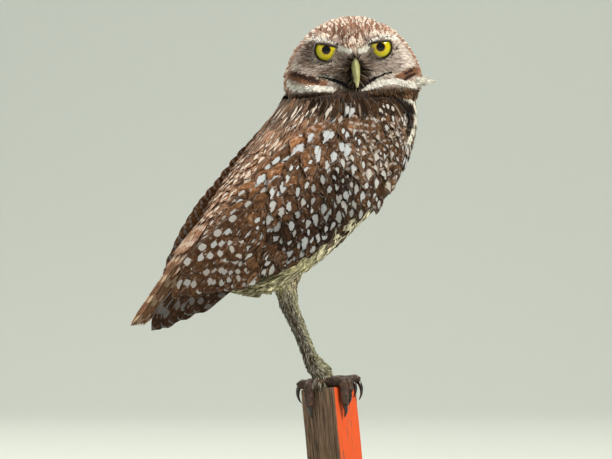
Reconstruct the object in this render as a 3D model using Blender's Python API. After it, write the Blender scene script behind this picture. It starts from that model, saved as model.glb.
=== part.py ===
"""Burrowing owl on a cut length of wooden stake, as a life-size still model on a plain display stand.

The bird stands on both feet on the sawn end of a leaning stake, its body turned to the right and
slightly away, its head turned back over its right shoulder so that the face looks along -Y.
Lengths are in millimetres and MM turns them into metres. The origin is the centre of the stand's
underside, +Z is up, and the face looks along -Y.
"""

import math

import bmesh
import bpy
import numpy as np
from mathutils import Matrix, Vector

MM = 0.001
GAP = 0.3  # left between nodes that touch

# Driving sizes of the stand and the stake
BASE_RADIUS = 68.0
BASE_THICKNESS = 12.0
BASE_CHAMFER = 2.0
ROD_RADIUS = 4.0
ROD_LENGTH = 20.0
STAKE_WIDTH = 24.5
STAKE_LENGTH = 80.0
STAKE_TURN = math.radians(-32.5)
STAKE_LEAN = math.radians(-5.5)
STAKE_TOP = BASE_THICKNESS + ROD_LENGTH + 2 * GAP + STAKE_LENGTH

# Driving sizes and pose of the bird. F, L and U are lengths forward, left and up in its own frame.
BODY_YAW = math.radians(20.0)
BODY_PITCH = math.radians(45.0)
BODY_AT = np.array([-20.7, -3.0, STAKE_TOP + 117.4])
FORWARD = np.array([
    math.cos(BODY_YAW) * math.cos(BODY_PITCH),
    math.sin(BODY_YAW) * math.cos(BODY_PITCH),
    math.sin(BODY_PITCH),
])
LEFT = np.array([-math.sin(BODY_YAW), math.cos(BODY_YAW), 0.0])
UP = np.cross(FORWARD, LEFT)

HEAD_AT = np.array([15.0, 10.5, STAKE_TOP + 184.0])
HEAD_ROLL = math.radians(-3.2)
HEAD_TURN = math.radians(2.5)
HEAD_HALF_WIDTH = 41.5
HEAD_CROWN = 39.0
HEAD_BELOW = 30.0
HEAD_FRONT = 35.0
HEAD_BACK = 33.0
HEAD_TEMPLES = 0.035  # how much narrower the head is at its temples, as a share
HEAD_CUT = 11.0  # the head's base plane, this far under its centre

EYE_SPREAD = 16.3
EYE_HEIGHT = 18.6
EYE_DEPTH = 18.8
EYE_RADIUS = 8.5
LID_RADIUS = 9.7
LID_OPENING = 7.0
LID_LINE = 2.4  # how far above the pupil's centre the upper lid crosses
LID_SLOPE = 0.3

# Median outline of the trunk, tail end first: dorsal F, U, ventral F, U, half width
TRUNK_SECTIONS = np.array([
    (-80.0, 22.0, -79.0, 12.0, 9.0),
    (-68.0, 25.5, -67.0, -2.0, 18.0),
    (-54.0, 28.5, -54.0, -22.0, 25.5),
    (-38.0, 32.0, -37.0, -36.0, 30.5),
    (-20.0, 35.5, -14.0, -41.0, 32.5),
    (0.0, 38.0, 12.0, -42.5, 33.0),
    (16.0, 40.0, 38.0, -42.8, 33.0),
    (25.0, 41.0, 58.0, -39.4, 33.0),
    (30.5, 41.8, 75.0, -31.2, 33.0),
    (34.0, 42.2, 86.0, -22.4, 33.0),
    (36.1, 42.5, 92.6, -14.0, 33.0),
])
TORSO_END = 8  # the section where the neck starts
SECTION_POWER = 2.3


def reset_scene():
    """Removes every object of the scene."""
    for obj in list(bpy.data.objects):
        bpy.data.objects.remove(obj)


def material(name, colour, roughness, metallic=0.0):
    """A plain Principled material, made once."""
    made = bpy.data.materials.get(name)
    if made is None:
        made = bpy.data.materials.new(name)
        made.use_nodes = True
        shader = made.node_tree.nodes["Principled BSDF"]
        shader.inputs["Base Color"].default_value = (*colour, 1.0)
        shader.inputs["Roughness"].default_value = roughness
        shader.inputs["Metallic"].default_value = metallic
    return made


def plumage():
    return material("brown_plumage", (0.22, 0.13, 0.08), 0.8)


def face_plumage():
    return material("face_plumage", (0.45, 0.36, 0.28), 0.8)


def pale_down():
    return material("pale_down", (0.62, 0.56, 0.44), 0.85)


def toe_skin():
    return material("toe_skin", (0.25, 0.19, 0.14), 0.6)


def claw_horn():
    return material("claw_horn", (0.02, 0.018, 0.016), 0.3)


def bill_horn():
    return material("bill_horn", (0.52, 0.55, 0.33), 0.4)


def add_mesh(name, points, faces, finish, smooth=True):
    """A mesh object from points in millimetres and faces of corner numbers."""
    mesh = bpy.data.meshes.new(name)
    mesh.from_pydata((np.asarray(points) * MM).tolist(), [], [list(map(int, f)) for f in faces])
    mesh.materials.append(finish)
    if smooth:
        mesh.shade_smooth()
    obj = bpy.data.objects.new(name, mesh)
    bpy.context.scene.collection.objects.link(obj)
    return obj


def ring_faces(rings, around):
    """Triangles of a closed tube of rings, each with the same number of points, and its two flat ends."""
    faces = []
    for i in range(rings - 1):
        for j in range(around):
            a, b = i * around + j, i * around + (j + 1) % around
            c, d = b + around, a + around
            faces += [(a, b, c), (a, c, d)]
    last = (rings - 1) * around
    for j in range(1, around - 1):
        faces.append((0, j + 1, j))
        faces.append((last, last + j, last + j + 1))
    return faces


def ring_solid(name, rings, finish, smooth=True):
    """A closed solid through an array of rings, shape rings x points x 3, turned so that it faces outwards."""
    rings = np.asarray(rings, float)
    obj = add_mesh(name, rings.reshape(-1, 3), ring_faces(len(rings), rings.shape[1]), finish, smooth)
    face_outwards(obj)
    return obj


def face_outwards(obj):
    """Turns a closed mesh's faces outwards."""
    made = bmesh.new()
    made.from_mesh(obj.data)
    bmesh.ops.recalc_face_normals(made, faces=made.faces)
    if made.calc_volume(signed=True) < 0:
        bmesh.ops.reverse_faces(made, faces=made.faces)
    made.to_mesh(obj.data)
    made.free()


def keep_largest(obj):
    """Leaves only the largest closed surface of a mesh, which drops scraps and sealed hollows."""
    made = bmesh.new()
    made.from_mesh(obj.data)
    bmesh.ops.remove_doubles(made, verts=made.verts, dist=0.002 * MM)
    made.verts.ensure_lookup_table()
    unseen = set(range(len(made.verts)))
    best = []
    while unseen:
        group = [unseen.pop()]
        for index in group:
            for edge in made.verts[index].link_edges:
                other = edge.other_vert(made.verts[index]).index
                if other in unseen:
                    unseen.remove(other)
                    group.append(other)
        if len(group) > len(best):
            best = group
    kept = set(best)
    dropped = [vert for vert in made.verts if vert.index not in kept]
    bmesh.ops.delete(made, geom=dropped, context="VERTS")
    bmesh.ops.triangulate(made, faces=made.faces)
    made.to_mesh(obj.data)
    made.free()


def apply_modifiers(obj):
    """Replaces an object's mesh by its evaluated one and clears its modifiers."""
    graph = bpy.context.evaluated_depsgraph_get()
    graph.update()
    made = bpy.data.meshes.new_from_object(obj.evaluated_get(graph), depsgraph=graph)
    obj.modifiers.clear()
    obj.data = made


def join_pieces(core, pieces, solver="MANIFOLD"):
    """Fuses closed pieces into the core by one union on a collection, then removes them."""
    group = bpy.data.collections.new(core.name + "_pieces")
    bpy.context.scene.collection.children.link(group)
    for piece in pieces:
        for owner in list(piece.users_collection):
            owner.objects.unlink(piece)
        group.objects.link(piece)
    union = core.modifiers.new("union", "BOOLEAN")
    union.operation = "UNION"
    union.operand_type = "COLLECTION"
    union.collection = group
    union.solver = solver
    apply_modifiers(core)
    for piece in pieces:
        bpy.data.objects.remove(piece)
    bpy.data.collections.remove(group)
    keep_largest(core)


def cut_with(obj, cutter, remove=True, solver="MANIFOLD"):
    """Takes the cutter's volume out of an object."""
    cut = obj.modifiers.new("cut", "BOOLEAN")
    cut.operation = "DIFFERENCE"
    cut.object = cutter
    cut.solver = solver
    apply_modifiers(obj)
    if remove:
        bpy.data.objects.remove(cutter)
    keep_largest(obj)


def spline(table, at):
    """Rows of a table read between its rows by a Catmull-Rom curve, for an array of row positions."""
    table = np.asarray(table, float)
    at = np.asarray(at, float)
    padded = np.vstack([2 * table[0] - table[1], table, 2 * table[-1] - table[-2]])
    low = np.clip(np.floor(at).astype(int), 0, len(table) - 2)
    t = (at - low)[:, None]
    a, b, c, d = (padded[low + k] for k in range(4))
    return 0.5 * (2 * b + (c - a) * t + (2 * a - 5 * b + 4 * c - d) * t**2 + (3 * b - a - 3 * c + d) * t**3)


def body_point(forward, left, up):
    """World points from lengths forward, left and up in the body's frame."""
    forward, left, up = (np.asarray(v, float)[..., None] for v in (forward, left, up))
    return BODY_AT + forward * FORWARD + left * LEFT + up * UP


def trunk_rings(at, around, grown=0.0):
    """Rings of the trunk at an array of section positions, grown outwards by a length."""
    rows = spline(TRUNK_SECTIONS, at)
    angle = np.linspace(0, 2 * math.pi, around, endpoint=False)
    side = np.sign(np.cos(angle)) * np.abs(np.cos(angle)) ** (2 / SECTION_POWER)
    rise = np.sign(np.sin(angle)) * np.abs(np.sin(angle)) ** (2 / SECTION_POWER)
    middle = (rows[:, 0:2] + rows[:, 2:4]) / 2
    half = (rows[:, 0:2] - rows[:, 2:4]) / 2
    length = np.linalg.norm(half, axis=1, keepdims=True)
    half = half * (1 + grown / length)
    forward = middle[:, :1] + half[:, :1] * rise
    up = middle[:, 1:] + half[:, 1:] * rise
    left = (rows[:, 4:5] + grown) * side
    return body_point(forward, left, up)


TORSO_AROUND = 32
TORSO_RINGS = 15
NECK_STEPS = np.array([0.7, 1.4, 2.0])


def make_torso():
    """The trunk from the rump to the base of the neck."""
    return ring_solid("torso", trunk_rings(np.linspace(0, TORSO_END, TORSO_RINGS), TORSO_AROUND), plumage())


def trunk_cutter():
    """The torso and the neck grown by the gap, which cut what lies on them to fit."""
    torso_at = np.linspace(0, TORSO_END, TORSO_RINGS)
    rings = trunk_rings(np.concatenate([torso_at, torso_at[-1] + NECK_STEPS]), TORSO_AROUND, GAP)
    rings[0] -= FORWARD * GAP
    cutter = ring_solid("trunk_cutter", rings, plumage())
    cutter.hide_render = True
    return cutter


def make_neck():
    """The collar between the torso and the head's flat base."""
    rings = trunk_rings(TORSO_END + np.append(0.0, NECK_STEPS), TORSO_AROUND)
    first = rings[0]
    normal = np.cross(first[9] - first[0], first[18] - first[9])
    normal /= np.linalg.norm(normal)
    if normal[2] < 0:
        normal = -normal
    rings[0] = first + normal * GAP
    flat = STAKE_TOP + 184.0 - HEAD_CUT - GAP
    rings[-1][:, 2] = flat
    return ring_solid("neck", rings, plumage())


def head_matrix():
    """The head's own frame: x to the photograph's right, y backwards, z up."""
    turn = Matrix.Rotation(HEAD_TURN, 4, "Z") @ Matrix.Rotation(HEAD_ROLL, 4, "Y")
    return Matrix.Translation(Vector(HEAD_AT)) @ turn


def head_point(points):
    """World points from points in the head's frame."""
    matrix = np.array(head_matrix())
    return np.asarray(points, float) @ matrix[:3, :3].T + matrix[:3, 3]


def bump(distance, width):
    """A smooth hill of height 1 at distance 0."""
    return np.exp(-((distance / width) ** 2))


def segment_distance(x, z, start, end):
    """Distance in the face plane from points to a line from start to end."""
    line = np.array(end) - np.array(start)
    along = np.clip(((x - start[0]) * line[0] + (z - start[1]) * line[1]) / (line @ line), 0, 1)
    return np.hypot(x - start[0] - along * line[0], z - start[1] - along * line[1])


FACE_PLANE = 26.5


def face_relief(x, z):
    """Height of the face's forms over its plane, from places in the face plane."""
    side = np.abs(x)
    to_eye = np.hypot(side - EYE_SPREAD, z - EYE_HEIGHT)
    bowl = -2.4 * bump(to_eye - 9.0, 5.0)
    brow = 4.2 * bump(segment_distance(side, z, (5.0, 18.5), (25.0, 29.5)), 3.6)
    ridge = 3.4 * bump(x, 4.0) * bump(z - 15.0, 8.0)
    rim = 2.0 * bump(np.hypot(side - 13.0, z - 14.0) - 21.5, 3.0) * (z < 24)
    muzzle = 3.6 * bump(np.hypot(x, z - 2.5), 6.5)
    line = -1.8 * bump(segment_distance(side, z, (2.0, -5.5), (23.0, 3.0)), 1.8)
    ruff = 2.2 * bump(segment_distance(side, z, (2.0, -9.0), (27.0, -2.5)), 3.2)
    return bowl + brow + ridge + rim + muzzle + line + ruff


def head_radius(way):
    """Distance from the head's centre to its surface along unit directions in the head's frame."""
    depth = np.where(way[..., 1] < 0, HEAD_FRONT, HEAD_BACK)
    height = np.where(way[..., 2] > 0, HEAD_CROWN, HEAD_BELOW)
    oval = 1 / np.sqrt(
        (way[..., 0] / HEAD_HALF_WIDTH) ** 2 + (way[..., 1] / depth) ** 2 + (way[..., 2] / height) ** 2
    )
    ahead = np.maximum(-way[..., 1], 1e-3)
    plane = FACE_PLANE / ahead
    sharp = 10.0
    flat = (oval**-sharp + plane**-sharp) ** (-1 / sharp)
    above = np.clip((way[..., 2] - 0.05) / 0.37, 0, 1)
    aside = np.clip((0.70 - ahead) / 0.40, 0, 1) * np.abs(way[..., 0]) ** 0.8
    flat = flat * (1 - HEAD_TEMPLES * aside * above * above * (3 - 2 * above))
    x, z = flat * way[..., 0], flat * way[..., 2]
    front = np.clip((ahead - 0.30) / 0.35, 0, 1)
    return flat + face_relief(x, z) * front * front * (3 - 2 * front)


HEAD_AROUND = 42
HEAD_RINGS = 25


def head_shell():
    """Rings from the face's middle to the nape, closed at both poles, evenly spread over the sphere."""
    polar = np.linspace(0, math.pi, HEAD_RINGS + 2)[1:-1]
    around = np.linspace(0, 2 * math.pi, HEAD_AROUND, endpoint=False)
    way = np.stack([
        np.sin(polar)[:, None] * np.cos(around),
        -np.cos(polar)[:, None] * np.ones_like(around),
        np.sin(polar)[:, None] * np.sin(around),
    ], axis=-1)
    points = way * head_radius(way)[..., None]
    poles = np.array([[0, -1.0, 0], [0, 1.0, 0]])
    ends = poles * head_radius(poles)[:, None]
    count = HEAD_RINGS * HEAD_AROUND
    faces = [f for f in ring_faces(HEAD_RINGS, HEAD_AROUND)[: 2 * (HEAD_RINGS - 1) * HEAD_AROUND]]
    last = count - HEAD_AROUND
    for j in range(HEAD_AROUND):
        k = (j + 1) % HEAD_AROUND
        faces.append((count, k, j))
        faces.append((count + 1, last + j, last + k))
    world = head_point(np.vstack([points.reshape(-1, 3), ends]))
    obj = add_mesh("head", world, faces, face_plumage())
    face_outwards(obj)
    return obj


def ball(name, centre, radius, finish, around=24, rings=14, squash=1.0):
    """A closed sphere in world millimetres."""
    made = bmesh.new()
    bmesh.ops.create_uvsphere(made, u_segments=around, v_segments=rings, radius=radius * MM)
    bmesh.ops.rotate(made, verts=made.verts, matrix=Matrix.Rotation(math.radians(90), 3, "X"))
    bmesh.ops.scale(made, verts=made.verts, vec=(1, squash, 1))
    bmesh.ops.translate(made, verts=made.verts, vec=Vector(centre) * MM)
    bmesh.ops.triangulate(made, faces=made.faces)
    mesh = bpy.data.meshes.new(name)
    made.to_mesh(mesh)
    made.free()
    mesh.materials.append(finish)
    mesh.shade_smooth()
    obj = bpy.data.objects.new(name, mesh)
    bpy.context.scene.collection.objects.link(obj)
    face_outwards(obj)
    return obj


def lid_outline(side, count=20):
    """The eye's opening between the lids, in the face plane about the eye: a circle cut by the sloping upper lid."""
    angle = np.linspace(0, 2 * math.pi, count, endpoint=False)
    x, z = LID_OPENING * np.cos(angle), LID_OPENING * np.sin(angle)
    z = np.minimum(z, LID_LINE - LID_SLOPE * x)
    return -side * x, z


def make_head():
    """The head with its face, brows, lids and eye sockets, flat at its base where the neck meets it."""
    head = head_shell()
    sockets, openings, lids = [], [], []
    for side in (-1, 1):
        centre = np.array([side * EYE_SPREAD, -EYE_DEPTH, EYE_HEIGHT])
        lids.append(ball(f"lid_{side}", head_point(centre), LID_RADIUS, face_plumage(), 20, 12))
        sockets.append(ball(f"socket_{side}", head_point(centre), EYE_RADIUS + GAP, face_plumage(), 20, 12))
        x, z = lid_outline(side)
        rings = [
            head_point(np.stack([centre[0] + x, np.full_like(x, y), centre[2] + z], axis=-1))
            for y in (-EYE_DEPTH, -EYE_DEPTH - 16.0)
        ]
        openings.append(ring_solid(f"opening_{side}", rings, face_plumage(), False))
    join_pieces(head, lids)
    for socket, opening in zip(sockets, openings):
        join_pieces(socket, [opening])
        cut_with(head, socket)
    block = box("base_cutter", (-80, -80, -80), (80, 80, 0))
    block.matrix_world = Matrix.Translation(Vector((HEAD_AT[0], HEAD_AT[1], HEAD_AT[2] - HEAD_CUT)) * MM)
    cut_with(head, block)
    for cutter in bill_seats():
        cut_with(head, cutter)
    return head


def box(name, low, high):
    """A closed box between two corners, in millimetres."""
    (x0, y0, z0), (x1, y1, z1) = low, high
    rings = [[(x0, y0, z), (x1, y0, z), (x1, y1, z), (x0, y1, z)] for z in (z0, z1)]
    return ring_solid(name, rings, toe_skin(), False)


def make_eyes():
    """Two eyeballs with the iris side forwards."""
    for side, name in ((-1, "eye_right"), (1, "eye_left")):
        centre = head_point((side * EYE_SPREAD, -EYE_DEPTH, EYE_HEIGHT))
        ball(name, centre, EYE_RADIUS, material("eye_yellow", (0.75, 0.62, 0.03), 0.1), 16, 10)


# Bill sections in the head's frame, root first: y, z, half width, half height
UPPER_BILL = np.array([
    (-22.0, 8.6, 3.6, 5.4),
    (-27.0, 8.2, 3.5, 5.2),
    (-31.0, 6.6, 3.1, 4.5),
    (-34.2, 3.6, 2.6, 3.3),
    (-35.8, 0.0, 1.9, 2.1),
    (-35.9, -4.4, 0.7, 0.8),
])
BILL_TILT = np.radians([0.0, 8.0, 28.0, 55.0, 78.0, 92.0])
BILL_AROUND = 14
BILL_SHIFT = 0.5  # the bill stands this far from the middle of the eyes


def bill_rings(table, tilt, grown=0.0):
    """Rings of a bill half whose sections lean forward and down along its hook."""
    angle = np.linspace(0, 2 * math.pi, BILL_AROUND, endpoint=False)
    side, rise = np.cos(angle), np.sin(angle)
    rings = []
    for (y, z, wide, tall), lean in zip(table, tilt):
        peak = (wide + grown) * side * (1 - 0.25 * np.clip(rise, 0, 1))
        lift = (tall + grown) * rise
        rings.append(np.stack([BILL_SHIFT + peak, y - lift * np.sin(lean), z + lift * np.cos(lean)], axis=-1))
    return rings


def bill_seats():
    """Both bill halves grown by the gap, to cut their seats in the head."""
    seats = []
    for rings in (bill_rings(UPPER_BILL, BILL_TILT, GAP), lower_bill_rings(GAP)):
        rings[0] = rings[0] + np.array([0, GAP, 0])
        seats.append(ring_solid(f"bill_seat_{len(seats)}", [head_point(r) for r in rings], bill_horn()))
    return seats


LOWER_BILL = np.array([
    (-22.0, 0.9, 2.9, 1.7),
    (-27.5, 0.2, 2.7, 1.6),
    (-31.0, -0.9, 2.1, 1.4),
    (-33.2, -2.0, 1.0, 0.9),
])


def lower_bill_rings(grown=0.0):
    """Rings of the lower bill, tucked behind the hook."""
    return bill_rings(LOWER_BILL, np.radians([0.0, 5.0, 15.0, 25.0]), grown)


def make_bill():
    """The hooked upper bill with its two nostrils, and the lower bill with the mouth line between them."""
    upper = ring_solid("bill_upper", [head_point(r) for r in bill_rings(UPPER_BILL, BILL_TILT)], bill_horn())
    for side in (-1, 1):
        nostril = head_point((BILL_SHIFT + side * 3.4, -30.0, 9.2))
        cut_with(upper, ball(f"nostril_{side}", nostril, 1.1, bill_horn(), 8, 6))
    seat = ring_solid(
        "lower_seat", [head_point(r) for r in bill_rings(UPPER_BILL, BILL_TILT, GAP)], bill_horn()
    )
    lower = ring_solid("bill_lower", [head_point(r) for r in lower_bill_rings()], bill_horn())
    cut_with(lower, seat)


# Folded wing: F, half width of the shell, height of its middle line, half height
WING_SHELL = np.array([
    (78.0, 29.0, -2.0, 40.0),
    (60.0, 33.4, -1.0, 43.0),
    (35.0, 35.2, 0.0, 44.5),
    (5.0, 36.0, 0.0, 44.5),
    (-25.0, 35.2, 0.5, 43.0),
    (-55.0, 30.8, 3.0, 37.0),
    (-85.0, 25.4, 6.0, 31.0),
    (-110.0, 21.4, 8.0, 28.0),
    (-130.0, 19.0, 9.0, 27.0),
])
SHELL_POWER = 2.4
WING_SHOULDER_LIFT = 2.6


def wing_side(forward, up):
    """Distance of the folded wing's shell from the median plane, at places forward and up."""
    forward, up = np.broadcast_arrays(np.asarray(forward, float), np.asarray(up, float))
    order = WING_SHELL[::-1]
    half = np.interp(forward, order[:, 0], order[:, 1])
    middle = np.interp(forward, order[:, 0], order[:, 2])
    tall = np.interp(forward, order[:, 0], order[:, 3])
    away = np.clip(np.abs(up - middle) / tall, 0, 0.985)
    return half * (1 - away**SHELL_POWER) ** (1 / SHELL_POWER)


def wing_lift(forward):
    """Height of the wing core's outer face over the shell, which ramps down to the rear."""
    return np.interp(forward, [-48.0, -30.0, 20.0, 60.0], [0.2, 0.9, WING_SHOULDER_LIFT, 1.6])


def shell_normal(forward, up, step=0.5):
    """Outward directions of the right wing's shell, as forward, left, up parts."""
    slope_f = (wing_side(forward + step, up) - wing_side(forward - step, up)) / (2 * step)
    slope_u = (wing_side(forward, up + step) - wing_side(forward, up - step)) / (2 * step)
    normal = np.stack([-slope_f, -np.ones_like(slope_f), -slope_u], axis=-1)
    return normal / np.linalg.norm(normal, axis=-1, keepdims=True)


def wing_place(forward, up, height, side):
    """World points at a height over the shell of the right wing (side -1) or the left wing (side 1)."""
    place = np.stack([forward, -wing_side(forward, up), up], axis=-1)
    place = place + shell_normal(forward, up) * np.asarray(height, float)[..., None]
    return body_point(place[..., 0], -side * place[..., 1], place[..., 2])


def blade_faces(stations, columns):
    """Triangles of a closed thin blade: a top grid, a bottom grid split alike, and its rim."""
    faces = []
    under = stations * columns
    for i in range(stations - 1):
        for j in range(columns - 1):
            a, b = i * columns + j, i * columns + j + 1
            c, d = b + columns, a + columns
            faces += [(a, b, c), (a, c, d)]
            faces += [(under + c, under + b, under + a), (under + d, under + c, under + a)]
    rim = [(0, j) for j in range(columns)] + [(i, columns - 1) for i in range(1, stations)]
    rim += [(stations - 1, j) for j in range(columns - 2, -1, -1)] + [(i, 0) for i in range(stations - 2, 0, -1)]
    for k, (i, j) in enumerate(rim):
        m, n = rim[(k + 1) % len(rim)]
        a, b = i * columns + j, m * columns + n
        faces += [(b, a, under + a), (b, under + a, under + b)]
    return faces


LONG_VANE = (np.array([0.0, 0.3, 0.62, 0.88, 1.0]), np.array([0.45, 0.9, 1.0, 0.82, 0.34]))
SHORT_VANE = (np.array([0.0, 0.45, 0.85, 1.0]), np.array([0.55, 1.0, 0.9, 0.4]))
VANE_THICKNESS = 0.6


def wing_vane(name, root, tip, half_width, heights, side, shape, bow=0.0, tilt=0.09):
    """One feather laid on the wing's shell from root to tip, given as forward and up.

    heights are its height over the shell at root, third and tip. Its lower edge lies higher by the
    tilt, so that neighbours overlap like shingles.
    """
    stations, widths = shape
    root, tip = np.array(root, float), np.array(tip, float)
    line = tip - root
    across = np.array([-line[1], line[0]]) / np.linalg.norm(line)
    t = stations[:, None]
    columns = np.array([-1.0, 0.15, 1.0])
    width = half_width * widths[:, None] * columns
    centre = root + line * t + across * bow * (4 * t * (1 - t))
    spread = centre[:, None, :] + across * width[..., None]
    shorter = 0.5 * half_width * (np.abs(columns) > 0.5) * (t > 0.95)
    spread = spread - (line / np.linalg.norm(line)) * shorter[..., None]
    lift = np.interp(stations, [0, 0.3, 1.0], heights)[:, None] + tilt * width
    top = wing_place(spread[..., 0], spread[..., 1], lift + VANE_THICKNESS, side)
    bottom = wing_place(spread[..., 0], spread[..., 1], lift, side)
    points = np.concatenate([top.reshape(-1, 3), bottom.reshape(-1, 3)])
    obj = add_mesh(name, points, blade_faces(len(stations), len(columns)), plumage(), False)
    face_outwards(obj)
    return obj


# Rows of wing feathers: count, first and last root, first and last tip (forward, up), half width,
# heights at root, third and tip, lowest feather first
WING_ROWS = {
    "primary": (6, (-34, -11), (-32, -4), (-104, 2.0), (-123, 9.5), 5.2, (-1.6, -1.5, -1.0)),
    "secondary": (6, (-30, -8), (-26, 14), (-72, -1), (-97, 14.0), 6.4, (-0.9, 0.1, 0.6)),
    "greater_covert": (6, (-6, -23), (0, 16), (-42, -13.5), (-46, 20), 6.6, (-0.4, 1.3, 1.9)),
    "median_covert": (6, (18, -26), (24, 15), (-14, -20), (-12, 21), 6.6, (0.2, 2.7, 3.0)),
    "scapular": (4, (44, 14), (34, 26), (4, 20), (-34, 25), 6.0, (0.3, 3.2, 3.6)),
}


def make_wing(side, name):
    """One folded wing: a core over the shoulder and arm, with its feathers in overlapping tiers."""
    forward = np.array([66.0, 62.0, 50.0, 35.0, 20.0, 5.0, -10.0, -25.0, -38.0, -46.0])
    low = np.array([-12.0, -22.0, -29.5, -31.0, -29.0, -26.5, -23.0, -19.5, -15.5, -11.0])
    high = np.array([4.0, 11.0, 19.0, 25.0, 27.5, 28.5, 28.0, 26.0, 22.0, 16.0])
    share = np.linspace(0, 1, 9)
    up = low[:, None] + (high - low)[:, None] * share
    run = np.broadcast_to(forward[:, None], up.shape)
    crown = np.sin(math.pi * share) ** 0.45
    lift = wing_lift(run) * crown + (crown - 1) * 0.8
    outer = wing_place(run, up, lift, side)
    inner = wing_place(run, up, np.full_like(up, -5.0), side)
    rings = np.concatenate([outer, inner[:, ::-1]], axis=1)
    wing = ring_solid(name, rings, plumage())
    pieces = []
    for row, (count, root_a, root_b, tip_a, tip_b, half, heights) in WING_ROWS.items():
        for k in range(count):
            s = k / (count - 1)
            root = np.array(root_a) * (1 - s) + np.array(root_b) * s
            tip = np.array(tip_a) * (1 - s) + np.array(tip_b) * s
            label = f"{name}_{row}_{k}"
            shape = SHORT_VANE if "covert" in row else LONG_VANE
            bow = 1.5 if row == "primary" else 0.0
            pieces.append(wing_vane(label, root, tip, half, heights, side, shape, bow))
    join_pieces(wing, pieces)
    return wing


TAIL_TIP = (-123.0, 16.0)
TAIL_ROOT = (-68.0, 22.0)
TAIL_HALF_SPREAD = 9.5
TAIL_FEATHER_HALF = 6.0
TAIL_STEP = 0.85


def tail_vane(name, left_root, left_tip, tip, root, height, half_width, roll=0.0):
    """One tail feather in the body's frame, flat but for a slight roll, as a closed blade."""
    stations, widths = LONG_VANE
    t = stations[:, None]
    columns = np.array([-1.0, 0.0, 1.0])
    width = half_width * widths[:, None] * columns
    forward = root[0] + (tip[0] - root[0]) * t + 0.4 * half_width * (np.abs(columns) > 0.5) * (t > 0.95)
    left = left_root + (left_tip - left_root) * t + width
    up = root[1] + (tip[1] - root[1]) * t + height + roll * width - 0.006 * left**2
    top = body_point(forward, left, up + VANE_THICKNESS)
    bottom = body_point(forward, left, up)
    points = np.concatenate([top.reshape(-1, 3), bottom.reshape(-1, 3)])
    obj = add_mesh(name, points, blade_faces(len(stations), len(columns)), plumage(), False)
    face_outwards(obj)
    return obj


def make_tail():
    """Twelve overlapping tail feathers on a root wedge, with the coverts over and under their bases."""
    around = np.linspace(0, 2 * math.pi, 16, endpoint=False)
    rings = []
    for forward, middle, wide, tall in (
        (-64, 18.5, 12.5, 8.5), (-72, 17.8, 13.0, 7.8), (-80, 16.8, 12.5, 6.0), (-90, 15.8, 10.5, 3.6),
    ):
        rings.append(body_point(np.full(16, forward), wide * np.cos(around), middle + tall * np.sin(around)))
    tail = ring_solid("tail", rings, plumage())
    pieces = []
    for k in range(12):
        pair = k // 2
        side = 1 if k % 2 else -1
        outward = side * (pair + 0.5) / 5.5
        tip = (TAIL_TIP[0] + 0.9 * pair, TAIL_TIP[1])
        height = -TAIL_STEP * (pair + 0.5 * (k % 2)) + 1.2
        pieces.append(tail_vane(
            f"rectrix_{k}", 5.0 * outward, TAIL_HALF_SPREAD * outward, tip, TAIL_ROOT, height, TAIL_FEATHER_HALF,
        ))
    for k in range(5):
        left = (k - 2) * 5.4
        tip = (-98.0 + 2.0 * abs(k - 2), 22.0)
        pieces.append(tail_vane(
            f"upper_covert_{k}", left * 0.7, left, tip, (-68.0, 24.6), 0.35 * (k % 2), 5.2,
        ))
    for k in range(5):
        left = (k - 2) * 4.6
        tip = (-96.0 + 1.5 * abs(k - 2), 8.8)
        pieces.append(tail_vane(
            f"under_covert_{k}", left * 0.7, left, tip, (-68.0, 11.6), 0.5 * (k % 2), 5.0,
        ))
    join_pieces(tail, pieces)
    return tail


def sweep(points, radii, around, start_up=(0, 0, 1), flatten=1.0):
    """Rings of a tube along points, carried without twist, with a radius at each."""
    points = np.asarray(points, float)
    tangents = np.gradient(points, axis=0)
    tangents /= np.linalg.norm(tangents, axis=1, keepdims=True)
    normal = np.cross(tangents[0], start_up)
    normal /= np.linalg.norm(normal)
    angle = np.linspace(0, 2 * math.pi, around, endpoint=False)
    rings = []
    for point, tangent, radius in zip(points, tangents, radii):
        normal = normal - tangent * (normal @ tangent)
        normal /= np.linalg.norm(normal)
        other = np.cross(tangent, normal)
        rings.append(
            point + radius * (np.cos(angle)[:, None] * normal + flatten * np.sin(angle)[:, None] * other)
        )
    return np.array(rings)


def stake_matrix():
    """The stake's frame: its sawn top at z 0, its painted side towards +x, leaning to the left."""
    lean = Matrix.Rotation(STAKE_LEAN, 4, "Y")
    return Matrix.Translation(Vector((0, 0, STAKE_TOP))) @ lean @ Matrix.Rotation(STAKE_TURN, 4, "Z")


def stake_point(points):
    """World points from points in the stake's frame."""
    matrix = np.array(stake_matrix())
    return np.asarray(points, float) @ matrix[:3, :3].T + matrix[:3, 3]


HALF_STAKE = STAKE_WIDTH / 2

# Legs: foot centre in the stake's frame, and the leg's middle line above it in world millimetres
# over the stake's top, with its radii
LEGS = {
    "right": {
        "foot": (-1.0, -7.2),
        "shank": [(-11.3, -8.6, 19.6), (-15.8, -9.8, 31.2), (-20.0, -11.0, 41.4), (-23.4, -12.0, 50.0)],
        "thigh": [(-23.8, -12.8, 56.0), (-22.6, -13.4, 64.0), (-18.5, -14.0, 78.0)],
    },
    "left": {
        "foot": (-7.6, 6.4),
        "shank": [(-11.2, 6.4, 19.6), (-15.9, 7.0, 31.2), (-20.2, 7.8, 41.4), (-23.6, 8.4, 50.0)],
        "thigh": [(-24.8, 8.2, 56.0), (-25.4, 8.0, 64.0), (-24.0, 8.0, 78.0)],
    },
}
SHANK_RADII = [4.9, 4.9, 4.6, 4.15, 4.1, 4.5, 5.2]
THIGH_RADII = [5.6, 6.2, 7.8, 10.8, 13.0]

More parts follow.
